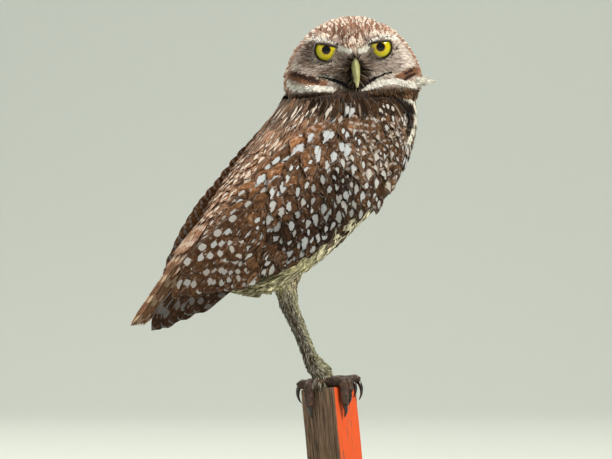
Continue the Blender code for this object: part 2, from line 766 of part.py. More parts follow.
# Toes: way over the stake's edge (side and place along it), how far the toe hangs down, the claw's
# length and whether it stands off the wood
TOES = {
    "right": {
        "outer": ("-y", -4.2, 10.5, 8.5, 0.35),
        "middle": ("+x", -6.6, 11.5, 8.0, 0.3),
        "inner": ("+x", -0.6, 4.0, 8.0, 0.5),
        "hind": ("-x", -8.2, 0.8, 12.0, 1.0),
    },
    "left": {
        "middle": ("+x", 10.6, 0.8, 13.5, 1.0),
        "inner": ("+x", 4.6, 0.8, 11.0, 0.9),
        "outer": ("+y", -2.0, 6.0, 9.0, 0.4),
        "hind": ("-x", 4.0, 1.0, 11.0, 0.9),
    },
}
TOE_RADIUS = 2.7
EDGE_WAYS = {"+x": (1, 0), "-x": (-1, 0), "+y": (0, 1), "-y": (0, -1)}


def toe_line(foot, way, place, drop):
    """Middle line of a toe in the stake's frame: along the top, round the edge and down the side."""
    out = np.array(EDGE_WAYS[way], float)
    along = np.abs(out[::-1])
    off = TOE_RADIUS + GAP
    start = np.array(foot, float)
    edge = out * HALF_STAKE + along * place
    top = [np.append(start + (edge - start) * s, off + 1.0 * (1 - s)) for s in (0.0, 0.35, 0.7)]
    bend = [
        np.append(edge + out * off * math.sin(a), off * math.cos(a)) for a in np.radians([0.0, 30.0, 60.0, 90.0])
    ]
    side = [np.append(edge + out * off, -drop * s) for s in (0.5, 1.0)]
    if drop < 2.0:
        return np.array(top + bend[:3])
    return np.array(top + bend + side)


def claw_rings(toe, length, stand_off, way):
    """Rings of a curved claw that leaves the toe's end, with its tip turned back to the wood."""
    end = toe[-1]
    heading = toe[-1] - toe[-2]
    heading /= np.linalg.norm(heading)
    out = np.append(np.array(EDGE_WAYS[way], float), 0.0)
    steps = 7
    first = math.atan2(heading @ out, -heading[2])
    last = -math.radians(38.0)
    start_angle = max(first, math.radians(12.0 + 40.0 * stand_off))
    angles = np.linspace(start_angle, last, steps)
    seg = length / (steps - 1)
    place = end + heading * GAP
    points = [place, place + heading * 0.8]
    place = points[1]
    for angle in angles[2:]:
        place = place + seg * (out * math.sin(angle) + np.array([0, 0, -1.0]) * math.cos(angle))
        points.append(place)
    points = np.array(points)
    reach = HALF_STAKE + GAP + 0.45
    inward = points @ out
    short = np.clip(reach + 1.2 - inward, 0, None) * np.clip(np.linspace(-0.4, 1, steps), 0, 1)
    points = points + out * short[:, None]
    radii = np.interp(np.linspace(0, 1, steps), [0, 0.5, 1], [1.5, 1.15, 0.3])
    return sweep(points, radii, 7, (0.3, 0.5, 0.8))


def make_leg(name):
    """One leg: its feathered thigh and shank, the foot with four toes, and four claws."""
    leg = LEGS[name]
    foot = np.array(leg["foot"])
    base = stake_point(np.append(foot, TOE_RADIUS + 1.2))
    rise = base + (0, 0, 4.2)
    start = [rise, rise + (0, 0, 0.8), base + (-3.3, -0.6, 9.5)]
    shank_line = np.vstack([start, np.array(leg["shank"]) + (0, 0, STAKE_TOP)])
    ring_solid(f"shank_{name}", sweep(shank_line, SHANK_RADII, 12, (0, 1, 0)), pale_down())
    knee, way = shank_line[-1], shank_line[-1] - shank_line[-2]
    way /= np.linalg.norm(way)
    start = [knee + way * GAP, knee + way * (GAP + 1.5)]
    thigh_line = np.vstack([start, np.array(leg["thigh"]) + (0, 0, STAKE_TOP)])
    thigh = ring_solid(f"thigh_{name}", sweep(thigh_line, THIGH_RADII, 16, (0, 1, 0)), pale_down())
    toes = []
    for toe_name, (way, place, drop, claw, stand_off) in TOES[name].items():
        line = toe_line(foot, way, place, drop)
        count = len(line)
        radii = TOE_RADIUS * (1 + 0.12 * np.cos(np.linspace(0, 3 * math.pi, count)))
        radii[-1] *= 0.72
        radii[0] = TOE_RADIUS * 1.25
        rings = stake_point(sweep(line, np.minimum(radii, TOE_RADIUS), 7, (0.2, 0.3, 1)))
        toes.append(ring_solid(f"toe_{toe_name}_{name}", rings, toe_skin()))
        ring_solid(
            f"claw_{toe_name}_{name}", stake_point(claw_rings(line, claw, stand_off, way)), claw_horn()
        )
    pad = ball(f"foot_{name}", stake_point(np.append(foot, TOE_RADIUS + 1.1)), 4.6, toe_skin(), 12, 7)
    bpy.context.view_layer.update()
    join_pieces(pad, toes)
    cap = box("shank_cutter", (-20, -20, 0), (20, 20, 20))
    cap.matrix_world = Matrix.Translation(Vector(rise - (0, 0, GAP)) * MM)
    cut_with(pad, cap)
    cut_with(pad, stake_block(GAP))
    return thigh


def stake_block(grown=0.0):
    """The stake's box grown by a length, standing in its own frame."""
    half = HALF_STAKE + grown
    block = box("stake_block", (-half, -half, -120.0), (half, half, grown))
    block.matrix_world = Matrix.Scale(MM, 4) @ stake_matrix() @ Matrix.Scale(1 / MM, 4)
    return block


def make_stake():
    """The cut length of stake, level at its lower end, with its long edges slightly broken."""
    stake = stake_block()
    stake.name = "perch_stake"
    stake.data.name = "perch_stake"
    stake.data.materials.clear()
    stake.data.materials.append(material("weathered_wood", (0.26, 0.19, 0.14), 0.85))
    matrix = stake.matrix_world.copy()
    stake.data.transform(matrix)
    stake.matrix_world = Matrix.Identity(4)
    made = bmesh.new()
    made.from_mesh(stake.data)
    level = (STAKE_TOP - STAKE_LENGTH) * MM
    found = bmesh.ops.bisect_plane(
        made, geom=made.verts[:] + made.edges[:] + made.faces[:],
        plane_co=(0, 0, level), plane_no=(0, 0, -1), clear_outer=True,
    )
    rim = [e for e in found["geom_cut"] if isinstance(e, bmesh.types.BMEdge)]
    bmesh.ops.contextual_create(made, geom=rim)
    bmesh.ops.dissolve_limit(made, angle_limit=0.02, verts=made.verts, edges=made.edges)
    bmesh.ops.bevel(made, geom=made.edges[:], offset=0.6 * MM, segments=1, affect="EDGES")
    made.to_mesh(stake.data)
    made.free()
    stake.data.shade_flat()
    face_outwards(stake)
    return stake


def make_stand():
    """The flat round base and the short rod that carries the stake."""
    angle = np.linspace(0, 2 * math.pi, 48, endpoint=False)
    circle = np.stack([np.cos(angle), np.sin(angle), np.zeros_like(angle)], axis=-1)
    lift = np.array([0, 0, 1.0])
    rings = [
        circle * (BASE_RADIUS - 0.8), circle * BASE_RADIUS + lift * 0.8,
        circle * BASE_RADIUS + lift * (BASE_THICKNESS - BASE_CHAMFER),
        circle * (BASE_RADIUS - BASE_CHAMFER) + lift * BASE_THICKNESS,
    ]
    ring_solid("stand_base", rings, material("base_black", (0.03, 0.03, 0.032), 0.4), False)
    foot_x = -math.tan(STAKE_LEAN) * (STAKE_LENGTH + 5.0)
    angle = angle[::2]
    circle = np.stack([np.cos(angle), np.sin(angle), np.zeros_like(angle)], axis=-1) * ROD_RADIUS
    centre = np.array([foot_x, 0, 0])
    low, high = BASE_THICKNESS + GAP, STAKE_TOP - STAKE_LENGTH - GAP
    rings = [circle + centre + lift * low, circle + centre + lift * high]
    ring_solid("stand_rod", rings, material("rod_steel", (0.6, 0.6, 0.6), 0.3, 1.0), False)


def main():
    """Builds every node, then cuts what lies on the torso to fit it."""
    reset_scene()
    make_torso()
    make_neck()
    make_head()
    make_eyes()
    make_bill()
    fitted = [make_wing(-1, "wing_right"), make_wing(1, "wing_left"), make_tail()]
    fitted += [make_leg("right"), make_leg("left")]
    bpy.context.view_layer.update()
    for obj in fitted:
        obj.data.transform(obj.matrix_world)
        obj.matrix_world = Matrix.Identity(4)
        cut_with(obj, trunk_cutter())
    make_stake()
    make_stand()


main()
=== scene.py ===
"""The look of a burrowing owl on a cut stake: skin, feathers, eyes, bill, feet, wood, stand and light.

Lengths are millimetres, turned into metres by MM when a mesh is filled. The owl's face looks along
-Y, +Z is up, and the body's own frame has lengths forward, left and up (f, l, u).
"""

from __future__ import annotations

import logging
import math
from dataclasses import dataclass, field
from enum import Enum
from typing import Callable

import bpy
import numpy as np
from mathutils import Matrix, Vector


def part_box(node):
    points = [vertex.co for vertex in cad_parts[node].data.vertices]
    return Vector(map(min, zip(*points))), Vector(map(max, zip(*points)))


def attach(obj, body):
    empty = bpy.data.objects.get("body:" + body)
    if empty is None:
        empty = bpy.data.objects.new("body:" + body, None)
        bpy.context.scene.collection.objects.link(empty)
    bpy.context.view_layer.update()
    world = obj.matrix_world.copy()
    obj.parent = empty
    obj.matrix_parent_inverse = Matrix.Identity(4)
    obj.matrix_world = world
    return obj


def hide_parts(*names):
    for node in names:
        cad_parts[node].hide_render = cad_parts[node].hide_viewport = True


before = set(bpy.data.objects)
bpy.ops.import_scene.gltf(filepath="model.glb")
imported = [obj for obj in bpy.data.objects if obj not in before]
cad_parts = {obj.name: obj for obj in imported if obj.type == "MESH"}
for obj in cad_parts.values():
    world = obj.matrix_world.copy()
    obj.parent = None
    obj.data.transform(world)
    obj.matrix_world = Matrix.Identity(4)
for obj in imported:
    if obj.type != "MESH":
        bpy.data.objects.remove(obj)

log = logging.getLogger("owl")
Array = np.ndarray
Draws = np.random.Generator
Piece = bpy.types.Object
Material = bpy.types.Material
Socket = bpy.types.NodeSocket
Tree = bpy.types.NodeTree
Lay = Callable[[Array, Array, Array], Array]
MM = 0.001
GOLDEN_TURN = math.pi * (3 - math.sqrt(5.0))

STAKE_TOP = 112.6
STAKE_HALF = 12.25
STAKE_TURN = math.radians(-32.5)
STAKE_LEAN = math.radians(-5.5)
STAKE_AXES = np.array(Matrix.Rotation(STAKE_LEAN, 3, "Y") @ Matrix.Rotation(STAKE_TURN, 3, "Z"))
BODY_YAW = math.radians(20.0)
BODY_PITCH = math.radians(45.0)
BODY_AT = np.array([-20.7, -3.0, STAKE_TOP + 117.4])
FORWARD = np.array([
    math.cos(BODY_YAW) * math.cos(BODY_PITCH),
    math.sin(BODY_YAW) * math.cos(BODY_PITCH),
    math.sin(BODY_PITCH),
])
LEFT = np.array([-math.sin(BODY_YAW), math.cos(BODY_YAW), 0.0])
UP = np.cross(FORWARD, LEFT)


def paint(red: float, green: float, blue: float) -> Array:
    """A linear colour from the 0 to 255 numbers of a screen colour."""
    share = np.array([red, green, blue]) / 255.0
    return np.where(share <= 0.04045, share / 12.92, ((share + 0.055) / 1.055) ** 2.4)


def rgba(red: float, green: float, blue: float) -> tuple:
    """A socket's colour from the 0 to 255 numbers of a screen colour."""
    return (*paint(red, green, blue), 1.0)


def columns(*parts: Array) -> Array:
    """Arrays or numbers side by side on a new last axis."""
    return np.stack(np.broadcast_arrays(*parts), axis=-1)


def circle(count: int) -> Array:
    """Angles evenly spread over a full turn."""
    return np.linspace(0, 2 * math.pi, count, endpoint=False)


def sphere_ways(polar: Array, turn: Array) -> Array:
    """Directions on a sphere by their angles off -Y and round it."""
    return columns(np.sin(polar) * np.cos(turn), -np.cos(polar), np.sin(polar) * np.sin(turn))


def sphere_grid(pole: float, rows: int, around: int) -> Array:
    """Directions on a sphere in rings that start an angle off each pole."""
    return sphere_ways(np.linspace(pole, math.pi - pole, rows)[:, None], circle(around))


def unit(vectors: Array) -> Array:
    """Vectors scaled to length 1."""
    return vectors / np.maximum(np.linalg.norm(vectors, axis=-1, keepdims=True), 1e-9)


def ease(value: Array, low: float, high: float) -> Array:
    """A smooth step: 0 at low, 1 at high, 3t^2 - 2t^3 between."""
    t = np.clip((np.asarray(value, float) - low) / (high - low), 0.0, 1.0)
    return t * t * (3.0 - 2.0 * t)


def hill(distance: Array, width: float) -> Array:
    """A bell curve of height 1: e to the minus square of distance over width."""
    return np.exp(-((distance / width) ** 2))


def blend(first: Array, second: Array, share: Array) -> Array:
    """Colours that move from first to second by a share for each row."""
    share = np.asarray(share, float)[..., None]
    return first * (1.0 - share) + second * share


def layered(tone: Array, *layers: tuple) -> Array:
    """A tone with colours laid over it in turn, each by its share."""
    for colour, share in layers:
        tone = blend(tone, colour, share)
    return tone


def line_distance(x: Array, z: Array, corners: Array) -> tuple[Array, Array]:
    """Distance from points to a line of several corners, and how far along it the nearest place is.

    Args:
        x: First coordinates.
        z: Second coordinates.
        corners: The line's corners, one row each.

    Returns:
        The distances, and shares from 0 at the first corner to 1 at the last.
    """
    corners = np.asarray(corners, float)
    best = np.full(np.shape(x), np.inf)
    share = np.zeros(np.shape(x))
    count = len(corners) - 1
    for k in range(count):
        step = corners[k + 1] - corners[k]
        t = np.clip(((x - corners[k, 0]) * step[0] + (z - corners[k, 1]) * step[1]) / (step @ step), 0, 1)
        away = np.hypot(x - corners[k, 0] - t * step[0], z - corners[k, 1] - t * step[1])
        nearer = away < best
        best = np.where(nearer, away, best)
        share = np.where(nearer, (k + t) / count, share)
    return best, share


def curve_rows(table: Array, at: Array) -> Array:
    """Rows of a table read between its rows by a Catmull-Rom cubic.

    Args:
        table: Numbers to pass through, one row for each whole position.
        at: Positions, in any shape.

    Returns:
        One row of the table's width for each position.
    """
    table = np.asarray(table, float)
    at = np.asarray(at, float)
    padded = np.vstack([2 * table[0] - table[1], table, 2 * table[-1] - table[-2]])
    low = np.clip(np.floor(at).astype(int), 0, len(table) - 2)
    t = (at - low)[..., None]
    a, b, c, d = (padded[low + k] for k in range(4))
    return 0.5 * (2 * b + (c - a) * t + (2 * a - 5 * b + 4 * c - d) * t**2 + (3 * b - a - 3 * c + d) * t**3)


def body_point(forward: Array, left: Array, up: Array) -> Array:
    """World points from lengths in the body's frame."""
    parts = [np.asarray(v, float)[..., None] for v in (forward, left, up)]
    return BODY_AT + parts[0] * FORWARD + parts[1] * LEFT + parts[2] * UP


def in_body(points: Array) -> tuple[Array, Array, Array]:
    """Lengths forward, left and up of world points."""
    away = points - BODY_AT
    return away @ FORWARD, away @ LEFT, away @ UP


def fill_mesh(name: str, points: Array, quads: Array, triangles: Array | None = None) -> Piece:
    """Puts arrays of points and faces into a new smooth-shaded mesh object at the origin.

    Args:
        name: The object's name.
        points: World points in millimetres, one row each.
        quads: Four corner numbers a row.
        triangles: Three corner numbers a row, if any.

    Returns:
        The object, linked to the scene.
    """
    if triangles is None:
        triangles = np.zeros((0, 3), int)
    corners = np.concatenate([np.asarray(quads).ravel(), np.asarray(triangles).ravel()]).astype(np.int32)
    starts = np.concatenate([np.arange(len(quads)) * 4, len(quads) * 4 + np.arange(len(triangles)) * 3])
    mesh = bpy.data.meshes.new(name)
    mesh.vertices.add(len(points))
    mesh.vertices.foreach_set("co", (np.asarray(points) * MM).astype(np.float32).ravel())
    mesh.loops.add(len(corners))
    mesh.loops.foreach_set("vertex_index", corners)
    mesh.polygons.add(len(starts))
    mesh.polygons.foreach_set("loop_start", starts.astype(np.int32))
    mesh.update(calc_edges=True)
    mesh.validate()
    mesh.shade_smooth()
    made = bpy.data.objects.new(name, mesh)
    bpy.context.scene.collection.objects.link(made)
    return made


def set_point_values(made: Piece, name: str, values: Array, colour: bool = False) -> None:
    """Stores a vector or a colour for each point of a mesh under a name."""
    kind = "FLOAT_COLOR" if colour else "FLOAT_VECTOR"
    layer = made.data.attributes.new(name, kind, "POINT")
    if colour:
        values = np.concatenate([values, np.ones((len(values), 1))], axis=1)
        layer.data.foreach_set("color", values.astype(np.float32).ravel())
    else:
        layer.data.foreach_set("vector", values.astype(np.float32).ravel())


def mark_rims(made: Piece, rim: Array) -> None:
    """Makes edges sharp where both ends are marked, so that top and underside are shaded apart."""
    mesh = made.data
    ends = np.zeros(len(mesh.edges) * 2, np.int32)
    mesh.edges.foreach_get("vertices", ends)
    layer = mesh.attributes.new("sharp_edge", "BOOLEAN", "EDGE")
    layer.data.foreach_set("value", rim[ends.reshape(-1, 2)].all(axis=1))


def set_unwrap(made: Piece, places: Array) -> None:
    """Adds the map OFBake, with one place for each point of the mesh."""
    mesh = made.data
    layer = mesh.uv_layers.new(name="OFBake")
    corner = np.zeros(len(mesh.loops), np.int32)
    mesh.loops.foreach_get("vertex_index", corner)
    layer.data.foreach_set("uv", places[corner].astype(np.float32).ravel())


def closed_faces(rows: int, around: int) -> tuple[Array, Array]:
    """Quads between closed rings of points, and fans to two last points at the middles of the ends."""
    i = np.arange(rows - 1)[:, None] * around
    j = np.arange(around)
    k = (j + 1) % around
    quads = columns(i + j, i + k, i + around + k, i + around + j).reshape(-1, 4)
    last, tip = (rows - 1) * around, rows * around
    return quads, np.concatenate([columns(tip, k, j), columns(tip + 1, last + j, last + k)])


def tube_mesh(name: str, rings: Array) -> Piece:
    """A closed surface through rings of points (rings x points x 3), with a middle point at each end."""
    points = np.concatenate([rings.reshape(-1, 3), [rings[0].mean(axis=0), rings[-1].mean(axis=0)]])
    return fill_mesh(name, points, *outwards(points, *closed_faces(*rings.shape[:2])))


def loop_mesh(name: str, points: Array, count: int, around: int) -> Piece:
    """A surface through count rings of points that is closed both ways, as a bent tube's is."""
    i = np.arange(count)[:, None]
    j = np.arange(around)
    k, n = (j + 1) % around, (i + 1) % count
    quads = columns(i * around + j, i * around + k, n * around + k, n * around + j).reshape(-1, 4)
    return fill_mesh(name, points, *outwards(points, quads, np.zeros((0, 3), int)))


def outwards(points: Array, quads: Array, triangles: Array) -> tuple[Array, Array]:
    """Faces turned so that the volume inside, a sixth of the sum of triple products, is above 0."""
    split = np.concatenate([quads[:, [0, 1, 2]], quads[:, [0, 2, 3]], triangles])
    a, b, c = (points[split[:, k]] for k in range(3))
    way = -1 if np.einsum("ij,ij->i", a, np.cross(b, c)).sum() < 0 else 1
    return quads[:, ::way], triangles[:, ::way]


def sweep(line: Array, radii: Array, around: int, start_up: tuple) -> Array:
    """Rings of a tube carried along a line without twist.

    Args:
        line: Points of the middle line.
        radii: A radius at each point.
        around: Points in each ring.
        start_up: A direction that the first ring's axis is square to.

    Returns:
        Array of rings x around x 3: point + radius * (cos a * normal + sin a * other).
    """
    tangents = unit(np.gradient(line, axis=0))
    normal = unit(np.cross(tangents[0], start_up))
    angle = circle(around)[:, None]
    rings = []
    for point, tangent, radius in zip(line, tangents, radii):
        normal = unit(normal - tangent * (normal @ tangent))
        other = np.cross(tangent, normal)
        rings.append(point + radius * (np.cos(angle) * normal + np.sin(angle) * other))
    return np.array(rings)


def smooth_line(corners: Array, count: int) -> Array:
    """A line of points through corners, evenly spread over a Catmull-Rom cubic."""
    return curve_rows(np.asarray(corners, float), np.linspace(0, len(corners) - 1, count))


class Lie(Enum):
    """The kinds of vane, each with its outline."""

    BODY = "body"
    SMALL = "small"
    FINE = "fine"
    FLIGHT = "flight"
    DOWN = "down"


@dataclass(frozen=True)
class VaneOutline:
    """The outline of one kind of vane.

    Attributes:
        stations: Shares of its length where a ring of points stands.
        widths: Share of the half width at each.
        columns: Points across its top.
        camber: Height of the middle over the edges, as a share of the half width.
        thick: Thickness in the middle.
        ragged: How far the ends of its barbs vary, as a share of its length.
        rounding: How far its corners fall back from the tip, as a share of the half width.
    """

    stations: tuple
    widths: tuple
    columns: int
    camber: float
    thick: float
    ragged: float
    rounding: float


OUTLINES = {
    Lie.BODY: VaneOutline(
        (0.0, 0.22, 0.45, 0.66, 0.84, 0.95, 1.0), (0.3, 0.74, 0.97, 1.0, 0.88, 0.62, 0.3), 7, 0.07, 0.12,
        0.05, 0.5
    ),
    Lie.SMALL: VaneOutline((0.0, 0.4, 0.75, 1.0), (0.4, 0.95, 0.9, 0.35), 3, 0.2, 0.22, 0.04, 0.3),
    Lie.FINE: VaneOutline((0.0, 0.5, 1.0), (0.7, 1.0, 0.3), 3, 0.25, 0.2, 0.0, 0.0),
    Lie.FLIGHT: VaneOutline(
        (0.0, 0.12, 0.25, 0.4, 0.55, 0.7, 0.82, 0.9, 0.95, 0.985, 1.0),
        (0.3, 0.62, 0.82, 0.94, 1.0, 1.0, 0.99, 0.96, 0.88, 0.7, 0.45), 9, 0.08, 0.3, 0.006, 0.3
    ),
    Lie.DOWN: VaneOutline((0.0, 0.35, 0.7, 1.0), (0.5, 1.0, 0.8, 0.2), 5, 0.2, 0.3, 0.12, 0.2)
}


@dataclass
class Vanes:
    """Many vanes of one kind, as arrays with a row for each, or one value for all.

    Attributes:
        lay: Turns lengths along and across a vane and heights into world points.
        length: Lengths, one for each vane.
        half: Half widths.
        low: Height of the roots over the form that they lie on.
        high: Height of the tips.
        tone: Ground colours.
        place: Place of the root on the unwrap of the skin.
        tint: Colours of the marks, or the ground's.
        spot: Place of a spot across and along, from -1 to 1 and 0 to 1, and its half length.
        bands: Number of bars, their strength, and the strength of a pale streak on the shaft.
        tilt: How much higher the upper edge lies, as a share of the width.
        sag: Curve of the vane towards the form between root and tip, in millimetres.
        slim: Width of a spot over its length.
        painter: Gives ground colours for the mesh's own points and their vanes' numbers, in place of tone.
    """

    lay: Lay
    length: Array
    half: Array
    low: Array | float
    high: Array | float
    tone: Array
    place: Array
    tint: Array | None = None
    spot: Array | float = 0.0
    bands: Array | float = 0.0
    tilt: float = 0.0
    sag: float = 0.0
    slim: Array | float = 0.62
    painter: Callable[[Array, Array], Array] | None = None


def straight(root: Array, ahead: Array, aside: Array, out: Array, bend: float = 0.0,
             carry: Callable[[Array], Array] = np.asarray) -> Lay:
    """How straight vanes lie: root + length * ahead + across * aside + (height - bend * length^2) * out.

    Args:
        root: Roots, one row each.
        ahead: Directions along the vanes.
        aside: Directions across them.
        out: Directions off their faces.
        bend: Bend towards the face below.
        carry: Turns the points into world points.

    Returns:
        The function that lays them.
    """

    def laid(length: Array, across: Array, height: Array) -> Array:
        """World points of places on the vanes."""
        place = root[:, None]
        for way, size in ((ahead, length), (aside, across), (out, height - bend * length**2)):
            place = place + way[:, None] * size[..., None]
        return carry(place)

    return laid


def make_vanes(name: str, kind: Lie, vanes: Vanes, rng: Draws) -> Piece:
    """Makes one mesh of many closed vanes.

    Each vane is a flattened tube: at share t of its length and share c across it stands at
    length * t along, half * width(t) * c across, and at a height that runs from low to high plus
    camber * half * (1 - c^2), with its thickness added above and below.

    Args:
        name: The object's name.
        kind: Which outline the vanes have.
        vanes: Their arrays.
        rng: Draws the ragged ends.

    Returns:
        The object with the attributes that its finish reads.
    """
    shape = OUTLINES[kind]
    top = np.linspace(-1.0, 1.0, shape.columns)
    across = np.concatenate([top, top[-2:0:-1]])
    side = np.concatenate([np.ones(shape.columns), -np.ones(shape.columns - 2)])
    side[[0, shape.columns - 1]] = 0.0
    around, rows, count = len(across), len(shape.stations), len(vanes.length)
    body = rows * around
    t = np.append(np.repeat(shape.stations, around), [-0.01, 1.015])
    width = np.append(np.repeat(shape.widths, around), [0.0, 0.0])
    c = np.append(np.tile(across, rows), [0.0, 0.0])
    face = np.append(np.tile(side, rows), [0.0, 0.0])
    barb = rng.normal(0.0, 1.0, (count, shape.columns))
    column = np.append(np.tile(np.rint((across + 1) / 2 * (shape.columns - 1)).astype(int), rows), [0, 0])
    rag = barb[:, column] * shape.ragged * ease(t, 0.55, 1.0) * np.append(np.ones(body), [0, 0])
    length, half, low, high, tilt, sag = (
        np.asarray(v, float).reshape(-1, 1)
        for v in (vanes.length, vanes.half, vanes.low, vanes.high, vanes.tilt, vanes.sag)
    )
    across_mm = half * width * c
    along_mm = length * (t + rag) - shape.rounding * half * np.abs(c) ** 2 * ease(t, 0.6, 1.0)
    rise = low + (high - low) * t - sag * 4 * t * (1 - t) + shape.camber * half * (1 - c**2) * width
    rise = rise + tilt * across_mm + shape.thick / 2 * face * (1 - 0.5 * np.clip(t, 0, 1))
    flat = vanes.lay(along_mm, across_mm, rise).reshape(-1, 3)
    size = body + 2
    offset = (np.arange(count) * size)[:, None, None]
    faces = [(part[None] + offset).reshape(-1, part.shape[1]) for part in closed_faces(rows, around)]
    made = fill_mesh(name, flat, *outwards(flat - flat.mean(axis=0), *faces))
    rim = (face == 0)[:-2] | (np.arange(body) >= body - around)
    mark_rims(made, np.tile(np.append(rim, [False, False]), count))
    tone = np.repeat(vanes.tone, size, axis=0)
    if vanes.painter is not None:
        tone = vanes.painter(flat, np.repeat(np.arange(count), size))
    set_point_values(made, "blade", columns(c, t, rng.random((count, 1))).reshape(-1, 3))
    for label, value, colour in (
        ("reach", columns(vanes.half, vanes.length, vanes.slim), False), ("spot", vanes.spot, False),
        ("bands", vanes.bands, False), ("tone", None, True),
        ("tint", vanes.tone if vanes.tint is None else vanes.tint, True),
    ):
        own = tone if value is None else np.repeat(np.broadcast_to(value, (count, 3)), size, axis=0)
        set_point_values(made, label, own, colour)
    patch_size = 0.02 if kind is Lie.FLIGHT else 0.003
    places = np.clip(vanes.place, 0.01, 0.99)[:, None, :] + columns(c * 0.5, t - 0.5) * patch_size
    set_unwrap(made, places.reshape(-1, 2))
    return made


@dataclass
class TrunkForm:
    """The outside of the trunk and neck: rings of rounded section along a bent median outline.

    At ring position a and angle b a point stands at the middle of the ring plus q * half height * sin(b)
    and q * half width * cos(b), where q is (|cos b|^2.3 + |sin b|^2.3) to the power -1 / 2.3.
    """

    sections: Array = field(default_factory=lambda: np.array([
        (-80.0, 22.0, -79.0, 12.0, 9.0),
        (-68.0, 25.5, -67.0, -2.0, 18.0),
        (-54.0, 28.5, -54.0, -22.0, 25.5),
        (-38.0, 32.0, -37.0, -36.0, 30.5),
        (-20.0, 35.5, -14.0, -41.0, 32.5),
        (0.0, 38.0, 12.0, -42.5, 33.0),
        (16.0, 40.0, 38.0, -42.8, 33.0),
        (25.0, 41.0, 58.0, -39.4, 33.0),
        (30.5, 41.8, 75.0, -31.2, 33.0),
        (34.0, 42.2, 86.0, -22.4, 33.0),
        (36.1, 42.5, 92.6, -14.0, 33.0),
    ]))
    power: float = 2.3
    probe: tuple = (0.15, 0.08)

    def point(self, at: Array, angle: Array) -> Array:
        """Points of the form at ring positions and angles."""
        rows = curve_rows(self.sections, at)
        cos, sin = np.cos(angle), np.sin(angle)
        grown = (np.abs(cos) ** self.power + np.abs(sin) ** self.power) ** (-1 / self.power)
        side, rise = cos * grown, sin * grown
        middle = (rows[..., 0:2] + rows[..., 2:4]) / 2
        half = (rows[..., 0:2] - rows[..., 2:4]) / 2
        forward = middle[..., 0] + half[..., 0] * rise
        up = middle[..., 1] + half[..., 1] * rise
        return body_point(forward, rows[..., 4] * side, up)

    def unwrap(self, at: Array, angle: Array) -> Array:
        """Places on the unwrap of the form: round it, then along it."""
        return columns(angle / (2 * math.pi) % 1.0, 0.02 + 0.094 * at)

    def steps(self, at: Array, angle: Array) -> tuple[Array, Array]:
        """Changes of place for a whole ring forward and a radian round, by central differences."""
        far, wide = self.probe
        along = (self.point(at + far, angle) - self.point(at - far, angle)) / (2 * far)
        around = (self.point(at, angle + wide) - self.point(at, angle - wide)) / (2 * wide)
        return along, around

    def place(self, at: Array, angle: Array, height: Array) -> Array:
        """Points at a height over the form."""
        along, around = self.steps(at, angle)
        return self.point(at, angle) + unit(np.cross(around, along)) * np.asarray(height)[..., None]

    def lay(self, at: Array, angle: Array, turn: Array) -> Lay:
        """How vanes lie that grow at ring positions and angles and point back, turned downwards."""
        along, around = self.steps(at, angle)
        ring_mm = np.linalg.norm(along, axis=-1)[:, None]
        round_mm = np.linalg.norm(around, axis=-1)[:, None]
        cos, sin = np.cos(turn)[:, None], np.sin(turn)[:, None]

        def laid(length: Array, across: Array, height: Array) -> Array:
            """World points of places on the vanes."""
            back = length * cos - across * sin
            over = length * sin + across * cos
            return self.place(at[:, None] - back / ring_mm, angle[:, None] + over / round_mm, height)

        return laid


